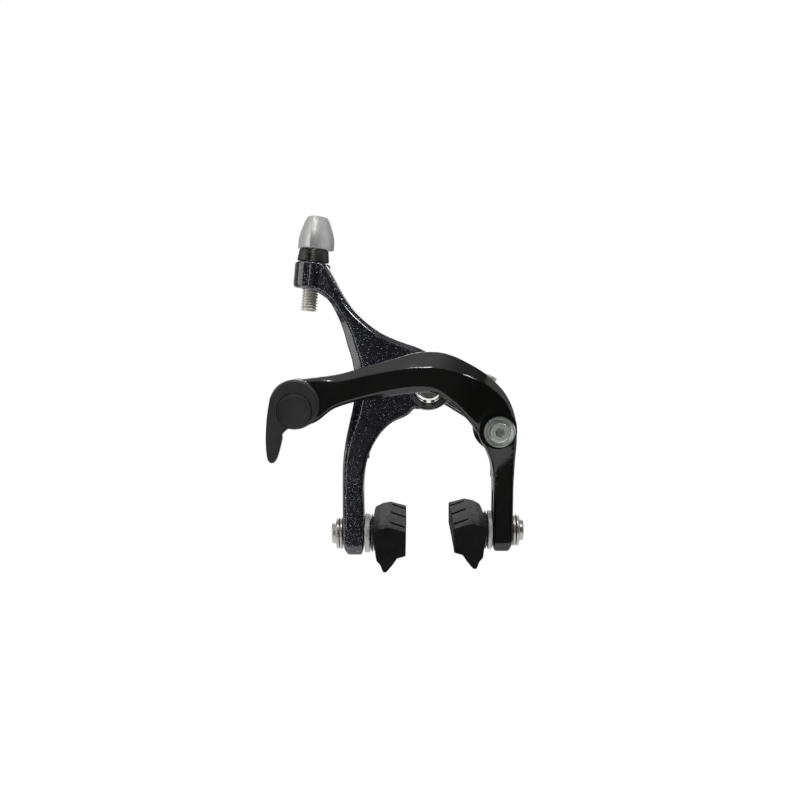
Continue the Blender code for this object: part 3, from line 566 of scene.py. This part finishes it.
def mounting_bolt():
    """Domed bright head in a black skirt, plain shank and threaded end."""
    head_back = Y_ARM_FRONT - 2 * GAP - 0.8
    head_front = head_back - 4.0
    tip = 27.0
    thread_start = 8.0
    reach = thread_start - head_back
    section = [(0, 0), (M6, 0), (M6, reach), (5.3, reach), (5.3, reach + 2.2), (5.0, reach + 2.9),
               (4.4, reach + 3.6), (3.6, reach + 4.0), (0, reach + 4.0)]
    bolt = turned("centre_bolt", section, Y_AXIS * thread_start, -Y_AXIS, edge=0.25)
    rim = [(5.3, 0), (6.0, 0), (6.2, 0.3), (6.2, 1.6), (5.7, 2.1), (5.3, 2.1)]
    skirt = turned("centre_bolt_skirt", rim, Y_AXIS * head_back, -Y_AXIS, edge=0.15)
    place(skirt, "mounting_bolt", LOOKS["gloss_black"])
    cut(bolt, socket(Y_AXIS * head_front, -Y_AXIS, 5.0, 2.4))
    place(bolt, "mounting_bolt", LOOKS["chrome"])
    overlap = 0.1
    thread = threaded("centre_bolt_thread", tip - thread_start + overlap,
                      Y_AXIS * (thread_start - overlap), Y_AXIS)
    place(thread, "mounting_bolt", LOOKS["steel"])


def sleeve_nut():
    section = [(M6 + GAP, 0), (4.0, 0), (4.0, 17.9), (5.2, 18.1), (5.2, 20.0), (M6 + GAP, 20.0)]
    nut = turned("recessed_nut", section, Y_AXIS * 14.0, Y_AXIS, edge=0.35)
    cut(nut, socket(Y_AXIS * 34.0, Y_AXIS, 6.6, 5.0))
    place(nut, "sleeve_nut", LOOKS["steel"])


def middle_washers():
    """Seat, slide and front washers and the two plain bushes in the pivots."""
    hole = M6 + GAP
    front = Y_ARM_FRONT - GAP
    slide_back = BRACKET_FRONT - GAP
    rows = [("seat_washer", 7.6, ORIGIN, -2.0, 0.0, "steel"),
            ("centre_slide_washer", 7.0, ORIGIN, WASHER_FRONT, slide_back, "nylon"),
            ("centre_front_washer", 7.0, ORIGIN, front - 0.8, front, "dark_washer"),
            ("centre_bush", BUSH, ORIGIN, Y_ARM_FRONT + 0.1, ARM_BACK - 0.1, "nylon"),
            ("side_slide_washer", 6.6, SIDE_PIVOT, WASHER_FRONT, slide_back, "nylon"),
            ("side_bush", BUSH, SIDE_PIVOT, SIDE_SEAT - GAP, ARM_BACK - 0.1, "nylon")]
    for node, outer, spot, low, high, look in rows:
        piece = washer(node + "_turned", hole, outer, spot + Y_AXIS * low, spot + Y_AXIS * high)
        place(piece, node, LOOKS[look])


def side_pivot_bolt():
    """Pivot bolt with a broad dished flange and a raised socket hub."""
    back = BRACKET_BACK - 0.2
    reach = back - (SIDE_SEAT - 0.1 - 2 * GAP)
    section = [(0, 0), (M6 - 0.4, 0), (M6, 0.4), (M6, reach), (5.6, reach), (5.6, reach + 1.0),
               (5.1, reach + 1.3), (3.8, reach + 1.0), (3.3, reach + 1.2), (3.3, reach + 2.7),
               (0, reach + 2.7)]
    bolt = turned("side_bolt", section, SIDE_PIVOT + Y_AXIS * back, -Y_AXIS, edge=0.28)
    cut(bolt, socket(SIDE_PIVOT + Y_AXIS * (back - reach - 2.7), -Y_AXIS, 3.0, 2.2))
    place(bolt, "side_pivot_bolt", LOOKS["zinc"])


# ------------------------------------------------------------------- the arms

def leg_slot(side):
    """The upright slot that a pad stud climbs, cut right through a leg."""
    sign = -1 if side == "left" else 1
    foot = -PAD_REACH[side]
    base = X_AXIS * (26.0 * sign - 8.0) + Y_AXIS * PAD_MIDDLE_Y
    return extruded("slot", stadium(foot, foot + PAD_TRAVEL, M6 + GAP), base, Y_AXIS, Z_AXIS, 16.0)


def y_arm():
    """Housing-stop arm: adjuster boss, shoulder, centre hub, contact tab and left leg."""
    arm_ribs = [
        Rib(-36.6, 44.0, -41.5, 34.8, Y_ARM_FRONT, ARM_BACK, 1.6, 1.0),
        Rib(-33.8, 39.4, -38.2, 33.0, Y_ARM_FRONT, ARM_BACK, 1.9, 1.0),
        Rib(-30.9, 34.0, -35.0, 30.4, Y_ARM_FRONT, ARM_BACK, 1.9, 1.0),
        Rib(-27.0, 28.1, -32.6, 26.2, Y_ARM_FRONT, ARM_BACK, 1.9, 1.4),
        Rib(-22.2, 23.3, -30.3, 20.6, Y_ARM_FRONT, ARM_BACK, 1.9, 2.4),
        Rib(-16.2, 19.1, -27.6, 11.5, Y_ARM_FRONT, ARM_BACK, 1.9, 3.2),
        Rib(-9.4, 16.2, -22.4, 1.0, Y_ARM_FRONT, ARM_BACK, 1.9, 3.0),
        Rib(-2.8, 13.8, -9.5, -6.4, Y_ARM_FRONT, ARM_BACK, 1.9, 1.0),
        Rib(4.0, 9.6, -1.0, -7.4, Y_ARM_FRONT, ARM_BACK, 1.9, 1.0),
        Rib(7.6, 3.6, 5.6, -4.4, Y_ARM_FRONT, ARM_BACK, 1.2, 1.0),
    ]
    proud = Y_ARM_FRONT - 0.12
    behind = ARM_BACK - 0.1
    leg_ribs = [
        Rib(-29.2, 17.0, -15.0, 14.5, proud, behind, 2.8, 1.0),
        Rib(-26.9, 8.5, -8.5, 5.0, proud, behind, 3.2, 1.0),
        Rib(-26.1, 0.0, -5.0, -4.0, proud, behind, 3.1, 1.0),
        Rib(-26.9, -7.0, -6.6, -9.1, proud, behind, 2.8, 1.0),
        Rib(-28.1, -12.6, -13.4, -12.7, -20.6, behind, 2.4, 1.0),
        Rib(-29.3, -18.8, -18.2, -17.9, -21.8, -9.8, 1.4, 1.0),
        Rib(-30.1, -26.0, -21.6, -25.2, -23.4, -10.8, 0.8, 0.8),
        Rib(-30.2, -35.0, -22.9, -34.0, -25.0, -12.0, 0.7, 0.7),
        Rib(-30.1, -47.0, -22.8, -47.0, LEG_FRONT, LEG_BACK, 0.7, 0.7),
        Rib(-29.8, -55.4, -22.8, -55.6, LEG_FRONT, LEG_BACK, 0.7, 0.7),
        Rib(-28.4, -58.4, -23.4, -58.4, LEG_FRONT + 0.6, LEG_BACK - 0.6, 0.7, 0.7),
    ]
    arm = lofted_arm("forged_y_arm", arm_ribs)
    boss = [(0, 7.9), (5.6, 7.9), (6.3, 8.7), (6.3, 16.7), (5.9, 17.3), (0, 17.3)]
    tab_back = -10.4
    tab_thickness = 9.4
    tab_across = CENTRE_LINE * 19.5
    tab_low = -SCREW_AXIS * 1.4
    tab_high = SCREW_AXIS * (CONTACT_LIFT - CONTACT_GAP)
    tab = [tab_low, tab_low + tab_across, tab_high + tab_across, tab_high]
    unite(arm, lofted_arm("leg", leg_ribs),
          rod("hub", 7.9, Y_AXIS * (Y_ARM_FRONT - 0.06), Y_AXIS * (ARM_BACK - 0.05)),
          turned("boss", boss, ADJUSTER_FOOT, ADJUSTER_AXIS),
          extruded("tab", [(corner.x, corner.z) for corner in tab],
                   Y_AXIS * tab_back, X_AXIS, Z_AXIS, tab_thickness))
    remelt(arm, 0.42, 5)
    cut(arm, rod("bore", BUSH + GAP, Y_AXIS * -5, Y_AXIS * -30),
        rod("thread", M6 + GAP, ADJUSTER_FOOT, ADJUSTER_TOP),
        leg_slot("left"))
    place(arm, "y_arm", LOOKS["flake_black"])


def c_arm():
    """Cable-side arm: lever boss, front span, side-pivot hub, screw lug and right leg."""
    ribs = [
        Rib(-44.6, 3.3, -44.8, -13.2, FRONT_SPAN, SPAN_BACK, 1.2, 1.2),
        Rib(-37.6, 4.1, -38.6, -11.2, FRONT_SPAN, SPAN_BACK, 1.3, 1.2),
        Rib(-30.5, 5.2, -32.3, -6.6, FRONT_SPAN, SPAN_BACK, 2.6, 1.2),
        Rib(-21.2, 7.8, -22.8, -3.7, FRONT_SPAN, SPAN_BACK, 3.3, 1.4),
        Rib(-12.2, 10.3, -13.4, -2.4, FRONT_SPAN, SPAN_BACK, 4.1, 2.2),
        Rib(-3.6, 12.5, -5.4, -1.3, FRONT_SPAN, SPAN_BACK, 5.4, 2.2),
        Rib(5.4, 12.2, 1.8, -1.4, FRONT_SPAN, SPAN_BACK, 5.4, 1.6),
        Rib(14.2, 8.4, 8.4, -5.6, FRONT_SPAN + 0.4, SPAN_BACK, 4.3, 1.2),
        Rib(21.2, 3.6, 13.4, -11.0, FRONT_SPAN + 1.8, SPAN_BACK + 0.4, 3.1, 1.2),
        Rib(26.5, -2.2, 16.6, -15.4, -32.2, -22.6, 2.0, 1.2),
        Rib(29.6, -9.5, 18.6, -19.4, -30.2, -14.5, 1.3, 1.2),
        Rib(30.4, -17.5, 20.6, -22.8, -28.8, -11.0, 1.2, 1.0),
        Rib(29.9, -25.5, 22.1, -27.6, -27.4, -11.4, 1.0, 0.8),
        Rib(29.5, -35.0, 22.6, -35.5, -26.4, -12.2, 0.8, 0.7),
        Rib(29.4, -47.0, 22.5, -47.0, LEG_FRONT, LEG_BACK, 0.7, 0.7),
        Rib(29.2, -54.0, 22.5, -54.2, LEG_FRONT, LEG_BACK, 0.7, 0.7),
        Rib(28.0, -57.0, 22.9, -57.0, LEG_FRONT + 0.6, LEG_BACK - 0.6, 0.7, 0.7),
    ]
    arm = lofted_arm("forged_c_arm", ribs)
    lever_boss = RELEASE_PIVOT + Y_AXIS * (FRONT_SPAN - 0.05)
    boss_length = 14.4
    recess = SIDE_PIVOT + Vector((-0.6, 0, 0.9))
    unite(arm, rod("boss", 8.4, lever_boss, lever_boss + Y_AXIS * boss_length),
          rod("hub", 6.4, SIDE_PIVOT + Y_AXIS * -25.0, SIDE_PIVOT + Y_AXIS * ARM_BACK),
          screw_lug())
    remelt(arm, 0.38, 3)
    cut(arm, rod("bore", BUSH + GAP, SIDE_PIVOT + Y_AXIS * -5, SIDE_PIVOT + Y_AXIS * -40),
        rod("counterbore", 6.7, recess + Y_AXIS * SIDE_SEAT, recess + Y_AXIS * -40),
        rod("release_bore", CAM + GAP, RELEASE_PIVOT + Y_AXIS * -10, RELEASE_PIVOT + Y_AXIS * -50),
        rod("screw_bore", M4 + GAP, SCREW_FOOT, SCREW_FOOT + SCREW_AXIS * 20),
        leg_slot("right"))
    place(arm, "c_arm", LOOKS["gloss_black"])


def screw_lug():
    """The lug behind the span that carries the centering screw, round at its back."""
    radius = 3.5
    half = 16
    front = -12.0
    thickness = 7.8
    foot = SCREW_FOOT + SCREW_AXIS * (5.6 - CONTACT_LIFT)
    arc = [math.pi * step / half for step in range(half + 1)]
    outline = [(radius * math.cos(t), radius * math.sin(t)) for t in arc]
    outline += [(-radius, front), (radius, front)]
    return extruded("lug", outline, foot, CENTRE_LINE, Y_AXIS, thickness)


def centering_screw():
    """Threaded set screw with a plain foot and a plain, eased end that holds the socket."""
    length = 15.4 - CONTACT_LIFT
    plain = 2.6
    foot = [(0, 0), (1.3, 0), (1.3, 2.4), (0, 2.4)]
    end = [(0, 0), (M4, 0), (M4, 0.9), (2.2, 0.9), (2.2, plain), (0, plain)]
    screw = threaded("set_screw", length - plain - 2.0, SCREW_FOOT + SCREW_AXIS * 2.2, SCREW_AXIS,
                     radius=M4, pitch=0.7, sides=40)
    unite(screw, turned("foot", foot, SCREW_FOOT, SCREW_AXIS, edge=0.3),
          turned("end", end, SCREW_FOOT + SCREW_AXIS * (length - plain), SCREW_AXIS, edge=0.5))
    cut(screw, socket(SCREW_FOOT + SCREW_AXIS * length, SCREW_AXIS, 2.0, 2.0))
    place(screw, "centering_screw", LOOKS["plated"])


def spring_sliders():
    """Nylon shoes behind the legs, bored for the ends of the spring wire."""
    for side, spot in (("left", LEFT_SLIDER), ("right", RIGHT_SLIDER)):
        shoe = washer("shoe_" + side, SPRING_WIRE + GAP, 2.1, spot - Z_AXIS * 2, spot + Z_AXIS * 2, 0.35)
        place(shoe, "spring_slider_" + side, LOOKS["nylon"])


# ------------------------------------------------------- adjuster on the y_arm

def on_adjuster(height):
    """A point on the adjuster's axis, height above the foot of its thread."""
    return ADJUSTER_FOOT + ADJUSTER_AXIS * height


def adjuster_collar():
    """Conical spacer under the cap, slotted in front so that the stem shows."""
    height = COLLAR_TOP - COLLAR_FOOT
    section = [(M6 + GAP, 0), (5.7, 0), (5.15, height), (M6 + GAP, height)]
    collar = turned("slotted_collar", section, on_adjuster(COLLAR_FOOT), ADJUSTER_AXIS, edge=0.3)
    across = ADJUSTER_AXIS.cross(Y_AXIS)
    outline = [(-1.4, -9), (1.4, -9), (1.4, 0), (-1.4, 0)]
    cut(collar, extruded("slot", outline, on_adjuster(COLLAR_TOP + 1), across, Y_AXIS, height + 2))
    place(collar, "adjuster_collar", LOOKS["satin_grey"])


def adjuster_stem():
    """Stem with a real thread, bored for the inner cable."""
    stem = threaded("adjuster_thread", STEM_TOP, ADJUSTER_FOOT, ADJUSTER_AXIS, bore=1.1)
    place(stem, "adjuster_stem", LOOKS["plated"], crease_degrees=50)


def grip_loop(height, width, steps=32, turn=math.radians(8)):
    """A Reuleaux triangle with eased corners across the adjuster's axis, one corner in front."""
    reach = width / math.sqrt(3)
    side = ADJUSTER_AXIS.cross(Y_AXIS)
    loop = []
    for step in range(3 * steps):
        angle = math.tau * step / (3 * steps)
        face = (angle % (math.tau / 3)) - math.tau / 6
        radius = math.sqrt(width ** 2 - (reach * math.sin(face)) ** 2) - reach * math.cos(face)
        radius -= 0.22 * max(0.0, (abs(face) - 0.86) / (math.tau / 6 - 0.86)) ** 2
        heading = -Y_AXIS * math.cos(angle + turn) + side * math.sin(angle + turn)
        loop.append(on_adjuster(height) + heading * radius)
    return loop


def adjuster_cap():
    """Thumb nut of constant width that narrows to its open top."""
    seat = STEM_TOP + 3.6
    widths = [(CAP_FOOT, 12.3), (CAP_FOOT + 0.15, 12.75), (CAP_FOOT + 0.5, 13.0),
              (CAP_FOOT + 2.0, 13.05), (CAP_FOOT + 3.8, 12.9), (CAP_FOOT + 5.6, 12.15),
              (CAP_FOOT + 7.4, 11.0), (CAP_FOOT + 9.6, 9.4), (CAP_TOP - 0.5, 7.95), (CAP_TOP - 0.15, 7.5), (CAP_TOP, 7.0)]
    rows = smoothed(widths, 3)
    cap = skinned("thumb_nut", [grip_loop(height, width) for height, width in rows])
    cut(cap, rod("thread", M6 + GAP, on_adjuster(CAP_FOOT - 2), on_adjuster(seat)),
        rod("mouth", 2.6, on_adjuster(seat - 1), on_adjuster(CAP_TOP + 2)))
    place(cap, "adjuster_cap", LOOKS["satin_silver"])


# --------------------------------------------- quick release and cable anchor

def release_lever():
    """Round cam disc with a curved finger tab that hangs down outside it."""
    turns = [(-53.5, -2.6), (-54.5, -8.6), (-54.95, -14.5), (-54.95, -18.7), (-54.6, -22.4),
             (-53.9, -24.3), (-52.4, -24.6), (-51.3, -23.0), (-50.4, -20.0),
             (-49.6, -16.6), (-49.6, -15.2), (-48.6, -14.0)]
    edge = [tuple(row) for row in smoothed(turns, 4)]
    edge += [(-46.0, -12.0), (-45.4, -5.0), (-50.0, 0.5)]
    thickness = LEVER_BACK - LEVER_FRONT
    section = [(0, 0), (8.4, 0), (8.4, thickness - 0.7), (7.7, thickness), (0, thickness)]
    disc = turned("lever_disc", section, RELEASE_PIVOT + Y_AXIS * LEVER_BACK, -Y_AXIS)
    tab = extruded("tab", edge, Y_AXIS * (LEVER_BACK - 0.15), X_AXIS, Z_AXIS, thickness - 0.15)
    unite(disc, tab)
    remelt(disc, 0.2, 5)
    pocket = ANCHOR + Y_AXIS * (LEVER_FRONT + COVER_POCKET)
    pivot_bore = rod("bore", CAM - 1.5 + GAP, RELEASE_PIVOT - Y_AXIS * 30, RELEASE_PIVOT - Y_AXIS * 50)
    cut(disc, rod("pocket", 6.0, pocket, pocket - Y_AXIS * 3), pivot_bore)
    place(disc, "quick_release_lever", LOOKS["satin_grey"])


def lever_cover():
    """Shallow dished disc set off centre in the lever's face."""
    section = [(0, 0), (5.75, 0), (5.75, 0.9), (5.3, 0.9), (4.9, 0.72), (0, 0.5)]
    back = ANCHOR + Y_AXIS * (LEVER_FRONT + COVER_POCKET - GAP)
    cover = turned("lever_dish", section, back, -Y_AXIS, edge=0.15)
    place(cover, "lever_cover", LOOKS["satin_grey"])


def cam_shaft():
    """Cam through the arm's boss; its rear flange carries the cable anchor off centre."""
    nose = LEVER_FRONT + COVER_POCKET + GAP
    shoulder = FRONT_SPAN + 0.2 - nose
    flange = FLANGE_FRONT - nose
    rear = CLAMP_FACE - nose
    section = [(0, 0), (CAM - 1.5, 0), (CAM - 1.5, shoulder), (CAM, shoulder), (CAM, flange),
               (7.6, flange), (7.6, rear), (0, rear)]
    shaft = turned("release_cam", section, RELEASE_PIVOT + Y_AXIS * nose, Y_AXIS, edge=0.25)
    line = ANCHOR + Y_AXIS * (CLAMP_FACE + 0.2) + X_AXIS * (M5 + 1.0)
    cut(shaft, rod("anchor_bore", M5 + GAP, ANCHOR + Y_AXIS * -10, ANCHOR + Y_AXIS * -27),
        rod("cable_groove", 0.9, line - Z_AXIS * 12, line + Z_AXIS * 16, 32))
    place(shaft, "cam_shaft", LOOKS["steel"])


def cable_clamp():
    """Clamp plate and the button-head anchor bolt driven from behind."""
    plate = washer("clamp_disc", M5 + GAP, 5.2, ANCHOR + Y_AXIS * (CLAMP_FACE + GAP),
                   ANCHOR + Y_AXIS * PLATE_BACK, edge=0.3)
    place(plate, "cable_clamp_plate", LOOKS["steel"])
    tip = -26.5
    head = PLATE_BACK + GAP
    shank = threaded("anchor_bolt_thread", head - tip + 0.2, ANCHOR + Y_AXIS * tip, Y_AXIS,
                     radius=M5, pitch=0.8)
    place(shank, "cable_clamp_bolt", LOOKS["steel"])
    section = [(0, 0), (4.5, 0), (4.5, 2.6), (4.2, 3.3), (3.7, 3.8), (0, 3.8)]
    button = turned("anchor_bolt_head", section, ANCHOR + Y_AXIS * head, Y_AXIS, edge=0.3)
    cut(button, socket(ANCHOR + Y_AXIS * (head + 3.8), Y_AXIS, 4.0, 2.0))
    place(button, "cable_clamp_bolt", LOOKS["steel"])


# ------------------------------------------------------------------ brake pads

PAD_LENGTH = 53.9
PAD_BOW = 800.0                # radius of the pad's bend along the rim
PAD_PITCH = 0.03               # nose-down slope at which the pads are set
PAD_BOSS = 19.4                # outer end of the pad's round boss, from the middle plane


def sign_of(side):
    return -1 if side == "left" else 1


def stud(side, out):
    """A point on a pad stud's axis, out millimetres from the caliper's middle plane."""
    return Vector((sign_of(side) * out, PAD_MIDDLE_Y, -PAD_REACH[side]))


def pad_outline():
    """End view of the right pad about its stud: friction face, top ridge, back and fin."""
    face = RIM_GAP / 2
    return [(face, 5.8), (13.8, 7.8), (17.0, 7.2), (19.6, 5.8), (19.2, 3.0),
            (18.4, -1.5), (18.0, -4.2), (16.7, -5.6), (15.6, -8.2), (14.4, -8.1),
            (12.2, -5.6), (10.6, -3.4), (face, -2.2)]


def brake_pad(side):
    """Moulded rubber block, bowed along the rim, with water grooves in its face and top."""
    sign = sign_of(side)
    stations = 25
    middle = Vector((14.0, 0, 0.5))
    loops = []
    for index in range(stations):
        along = (index / (stations - 1) - 0.5) * PAD_LENGTH
        lift = along * PAD_PITCH - along * along / (2 * PAD_BOW)
        inset = 0.5 * max(0.0, 1 - min(index, stations - 1 - index) * 0.5)
        loop = []
        for x, z in pad_outline():
            corner = Vector((x, 0, z))
            corner += (middle - corner).normalized() * inset * (x > RIM_GAP / 2)
            height = corner.z + lift - PAD_REACH[side]
            loop.append(Vector((sign * corner.x, PAD_MIDDLE_Y + along, height)))
        loops.append(loop)
    pad = skinned("rubber_pad_" + side, loops)
    unite(pad, rod("boss", 6.2, stud(side, 15.0), stud(side, PAD_BOSS)))
    low = RIM_GAP / 2 - 2
    floor = RIM_GAP / 2 + 1.5
    outline = [(low, -5), (floor, -5), (floor, 4.4), (13.2, 6.2), (13.2, 12), (low, 12)]
    outline = [(sign * x, z - PAD_REACH[side]) for x, z in outline]
    width = 2.6
    groove_middles = (-38.5, -20.0, -1.5)
    for depth in groove_middles:
        cut(pad, extruded("groove", outline, Y_AXIS * (depth + width / 2), X_AXIS, Z_AXIS, width))
    remelt(pad, 0.3, 3)
    cut(pad, rod("pocket", 5.0 + GAP, stud(side, 13.0), stud(side, 15.6)),
        rod("stud_bore", M6 + GAP, stud(side, 15.0), stud(side, 22.0)))
    place(pad, "pad_" + side, LOOKS["rubber"])


def leg_faces(side):
    """Distances of a leg's inner and outer sides from the caliper's middle plane."""
    return (22.8, 30.05) if side == "left" else (22.55, 29.35)


def pad_hardware(side):
    """Stud, domed and cupped washers inside the leg, flat washer and flanged nut outside."""
    inner_face, outer_face = leg_faces(side)
    hole = M6 + GAP
    out = X_AXIS * sign_of(side)

    head_section = [(0, 0), (5.0, 0), (5.0, 2.0), (0, 2.0)]
    head = turned("stud_head_" + side, head_section, stud(side, 13.3), out, edge=0.3)
    place(head, "pad_post_" + side, LOOKS["steel"])
    thread = threaded("stud_thread_" + side, 15.7, stud(side, 15.2), out)
    place(thread, "pad_post_" + side, LOOKS["steel"], crease_degrees=50)

    cup_start = inner_face - GAP - {"left": 1.8, "right": 1.4}[side]
    dome_start = PAD_BOSS + GAP
    rise = cup_start - GAP - dome_start
    dome = [(hole, 0), (6.7, 0), (6.7, rise - 0.4), (6.2, rise - 0.15), (5.6, rise), (hole, rise)]
    place(turned("domed_washer_" + side, dome, stud(side, dome_start), out, edge=0.2),
          "convex_washer_" + side, LOOKS["dark_washer"])
    cup = washer("cupped_washer_" + side, hole, 6.9, stud(side, cup_start),
                 stud(side, inner_face - GAP), edge=0.3)
    place(cup, "concave_washer_" + side, LOOKS["blasted_grey"])
    flat = outer_face + GAP
    flat_thickness = 0.9
    place(washer("flat_washer_" + side, hole, 5.6, stud(side, flat), stud(side, flat + flat_thickness)),
          "outer_washer_" + side, LOOKS["steel"])

    start = flat + GAP + flat_thickness
    thread_end = 31.2 - start
    hub = 3.65
    section = [(0, thread_end), (hole, thread_end), (hole, 0), (5.5, 0), (5.5, 0.8), (5.2, 1.0),
               (hub + 0.2, 1.1), (hub, 2.2), (hub - 0.4, 2.6), (0, 2.6)]
    nut = turned("flanged_nut_" + side, section, stud(side, start), out, edge=0.2)
    cut(nut, socket(stud(side, start + 2.6), out, 4.0, 0.9))
    place(nut, "pad_nut_" + side, LOOKS["steel"])


# --------------------------------------------------- camera, light and backdrop

def camera():
    """A little above the pivots and left of them, looking slightly down, as for a product shot."""
    pitch_down = 2.45
    turn_left = 0.51
    data = bpy.data.cameras.new("Camera")
    data.lens = 50.4
    data.sensor_width = 36.0
    data.clip_end = 20.0
    made = bpy.data.objects.new("Camera", data)
    made.location = Vector((-6.6, -414.5, 12.6)) * MM
    made.rotation_euler = (math.radians(90 - pitch_down), 0.0, math.radians(turn_left))
    bpy.context.scene.collection.objects.link(made)
    bpy.context.scene.camera = made


def softbox(name, spot, size, power):
    """A rectangular lamp, in metres and watts, aimed at the origin."""
    data = bpy.data.lights.new(name, 'AREA')
    data.shape = 'RECTANGLE'
    data.size, data.size_y = size
    data.energy = power
    made = bpy.data.objects.new(name, data)
    made.location = spot
    made.rotation_euler = (-Vector(spot)).to_track_quat('-Z', 'Y').to_euler()
    bpy.context.scene.collection.objects.link(made)


def studio():
    """A room bright above, fainter behind, dim to the right and in front, white where seen directly."""
    world = bpy.data.worlds.new("Studio")
    world.use_nodes = True
    nodes = world.node_tree.nodes
    link = world.node_tree.links.new
    nodes.clear()
    room = nodes.new("ShaderNodeTexCoord")
    axes = nodes.new("ShaderNodeSeparateXYZ")
    link(room.outputs["Generated"], axes.inputs["Vector"])

    def rising(value, low, high, dim, bright):
        scale = nodes.new("ShaderNodeMapRange")
        scale.interpolation_type = 'SMOOTHSTEP'
        scale.inputs["From Min"].default_value = low
        scale.inputs["From Max"].default_value = high
        scale.inputs["To Min"].default_value = dim
        scale.inputs["To Max"].default_value = bright
        link(value, scale.inputs["Value"])
        return scale.outputs["Result"]

    total = nodes.new("ShaderNodeMath")
    total.operation = 'ADD'
    link(rising(axes.outputs["Z"], 0.35, 0.98, 0.10, 1.25), total.inputs[0])
    link(rising(axes.outputs["Y"], 0.0, 0.9, 0.0, 0.35), total.inputs[1])
    shaded = nodes.new("ShaderNodeMath")
    shaded.operation = 'MULTIPLY'
    link(total.outputs["Value"], shaded.inputs[0])
    link(rising(axes.outputs["X"], 0.05, 0.50, 1.0, 0.25), shaded.inputs[1])
    lit = nodes.new("ShaderNodeBackground")
    link(shaded.outputs["Value"], lit.inputs["Strength"])
    seen = nodes.new("ShaderNodeBackground")
    seen.inputs["Strength"].default_value = 1.0
    seen.inputs["Color"].default_value = (1.0, 1.0, 1.0, 1.0)
    ray = nodes.new("ShaderNodeLightPath")
    choice = nodes.new("ShaderNodeMixShader")
    link(ray.outputs["Is Camera Ray"], choice.inputs["Fac"])
    link(lit.outputs["Background"], choice.inputs[1])
    link(seen.outputs["Background"], choice.inputs[2])
    out = nodes.new("ShaderNodeOutputWorld")
    link(choice.outputs["Shader"], out.inputs["Surface"])
    bpy.context.scene.world = world

    softbox("left_box", (-0.62, -0.16, 0.08), (0.40, 0.80), 1.8)
    softbox("right_box", (0.62, 0.05, 0.10), (0.45, 0.80), 0.9)
    softbox("rim_box", (0.00, 0.60, 0.30), (0.60, 0.30), 1.6)
    softbox("shoulder_lamp", (0.34, -0.32, 0.45), (0.11, 0.11), 0.8)
    softbox("glint_lamp", (-0.01, -0.32, 0.56), (0.05, 0.12), 0.6)
    softbox("front_lamp", (-0.15, -0.60, 0.05), (0.02, 0.35), 0.15)


def backdrop():
    """A round pale floor lit from beneath, a little below the lowest point of the pads."""
    floor_below = 0.045
    radius = 0.2
    height = cad_box[0][2] - floor_below
    mesh = bpy.data.meshes.new("floor")
    rim = [(radius * math.cos(math.tau * step / FINE), radius * math.sin(math.tau * step / FINE), height)
           for step in range(FINE)]
    mesh.from_pydata(rim, [], [tuple(range(FINE))])
    floor = bpy.data.objects.new("floor", mesh)
    bpy.context.scene.collection.objects.link(floor)
    look = bpy.data.materials.new("pale_floor")
    look.use_nodes = True
    paper = look.node_tree.nodes["Principled BSDF"]
    paper.inputs["Base Color"].default_value = (0.18, 0.18, 0.18, 1.0)
    paper.inputs["Roughness"].default_value = 1.0
    paper.inputs["Specular IOR Level"].default_value = 0.0
    paper.inputs["Emission Color"].default_value = (1.0, 1.0, 1.0, 1.0)
    paper.inputs["Emission Strength"].default_value = 1.0
    floor.data.materials.append(look)


def build():
    camera()
    studio()
    backdrop()
    return_spring()
    pivot_bracket()
    mounting_bolt()
    sleeve_nut()
    middle_washers()
    side_pivot_bolt()
    y_arm()
    c_arm()
    centering_screw()
    spring_sliders()
    adjuster_collar()
    adjuster_stem()
    adjuster_cap()
    release_lever()
    lever_cover()
    cam_shaft()
    cable_clamp()
    for side in ("left", "right"):
        brake_pad(side)
        pad_hardware(side)
    bpy.context.scene.view_settings.view_transform = 'Standard'


build()
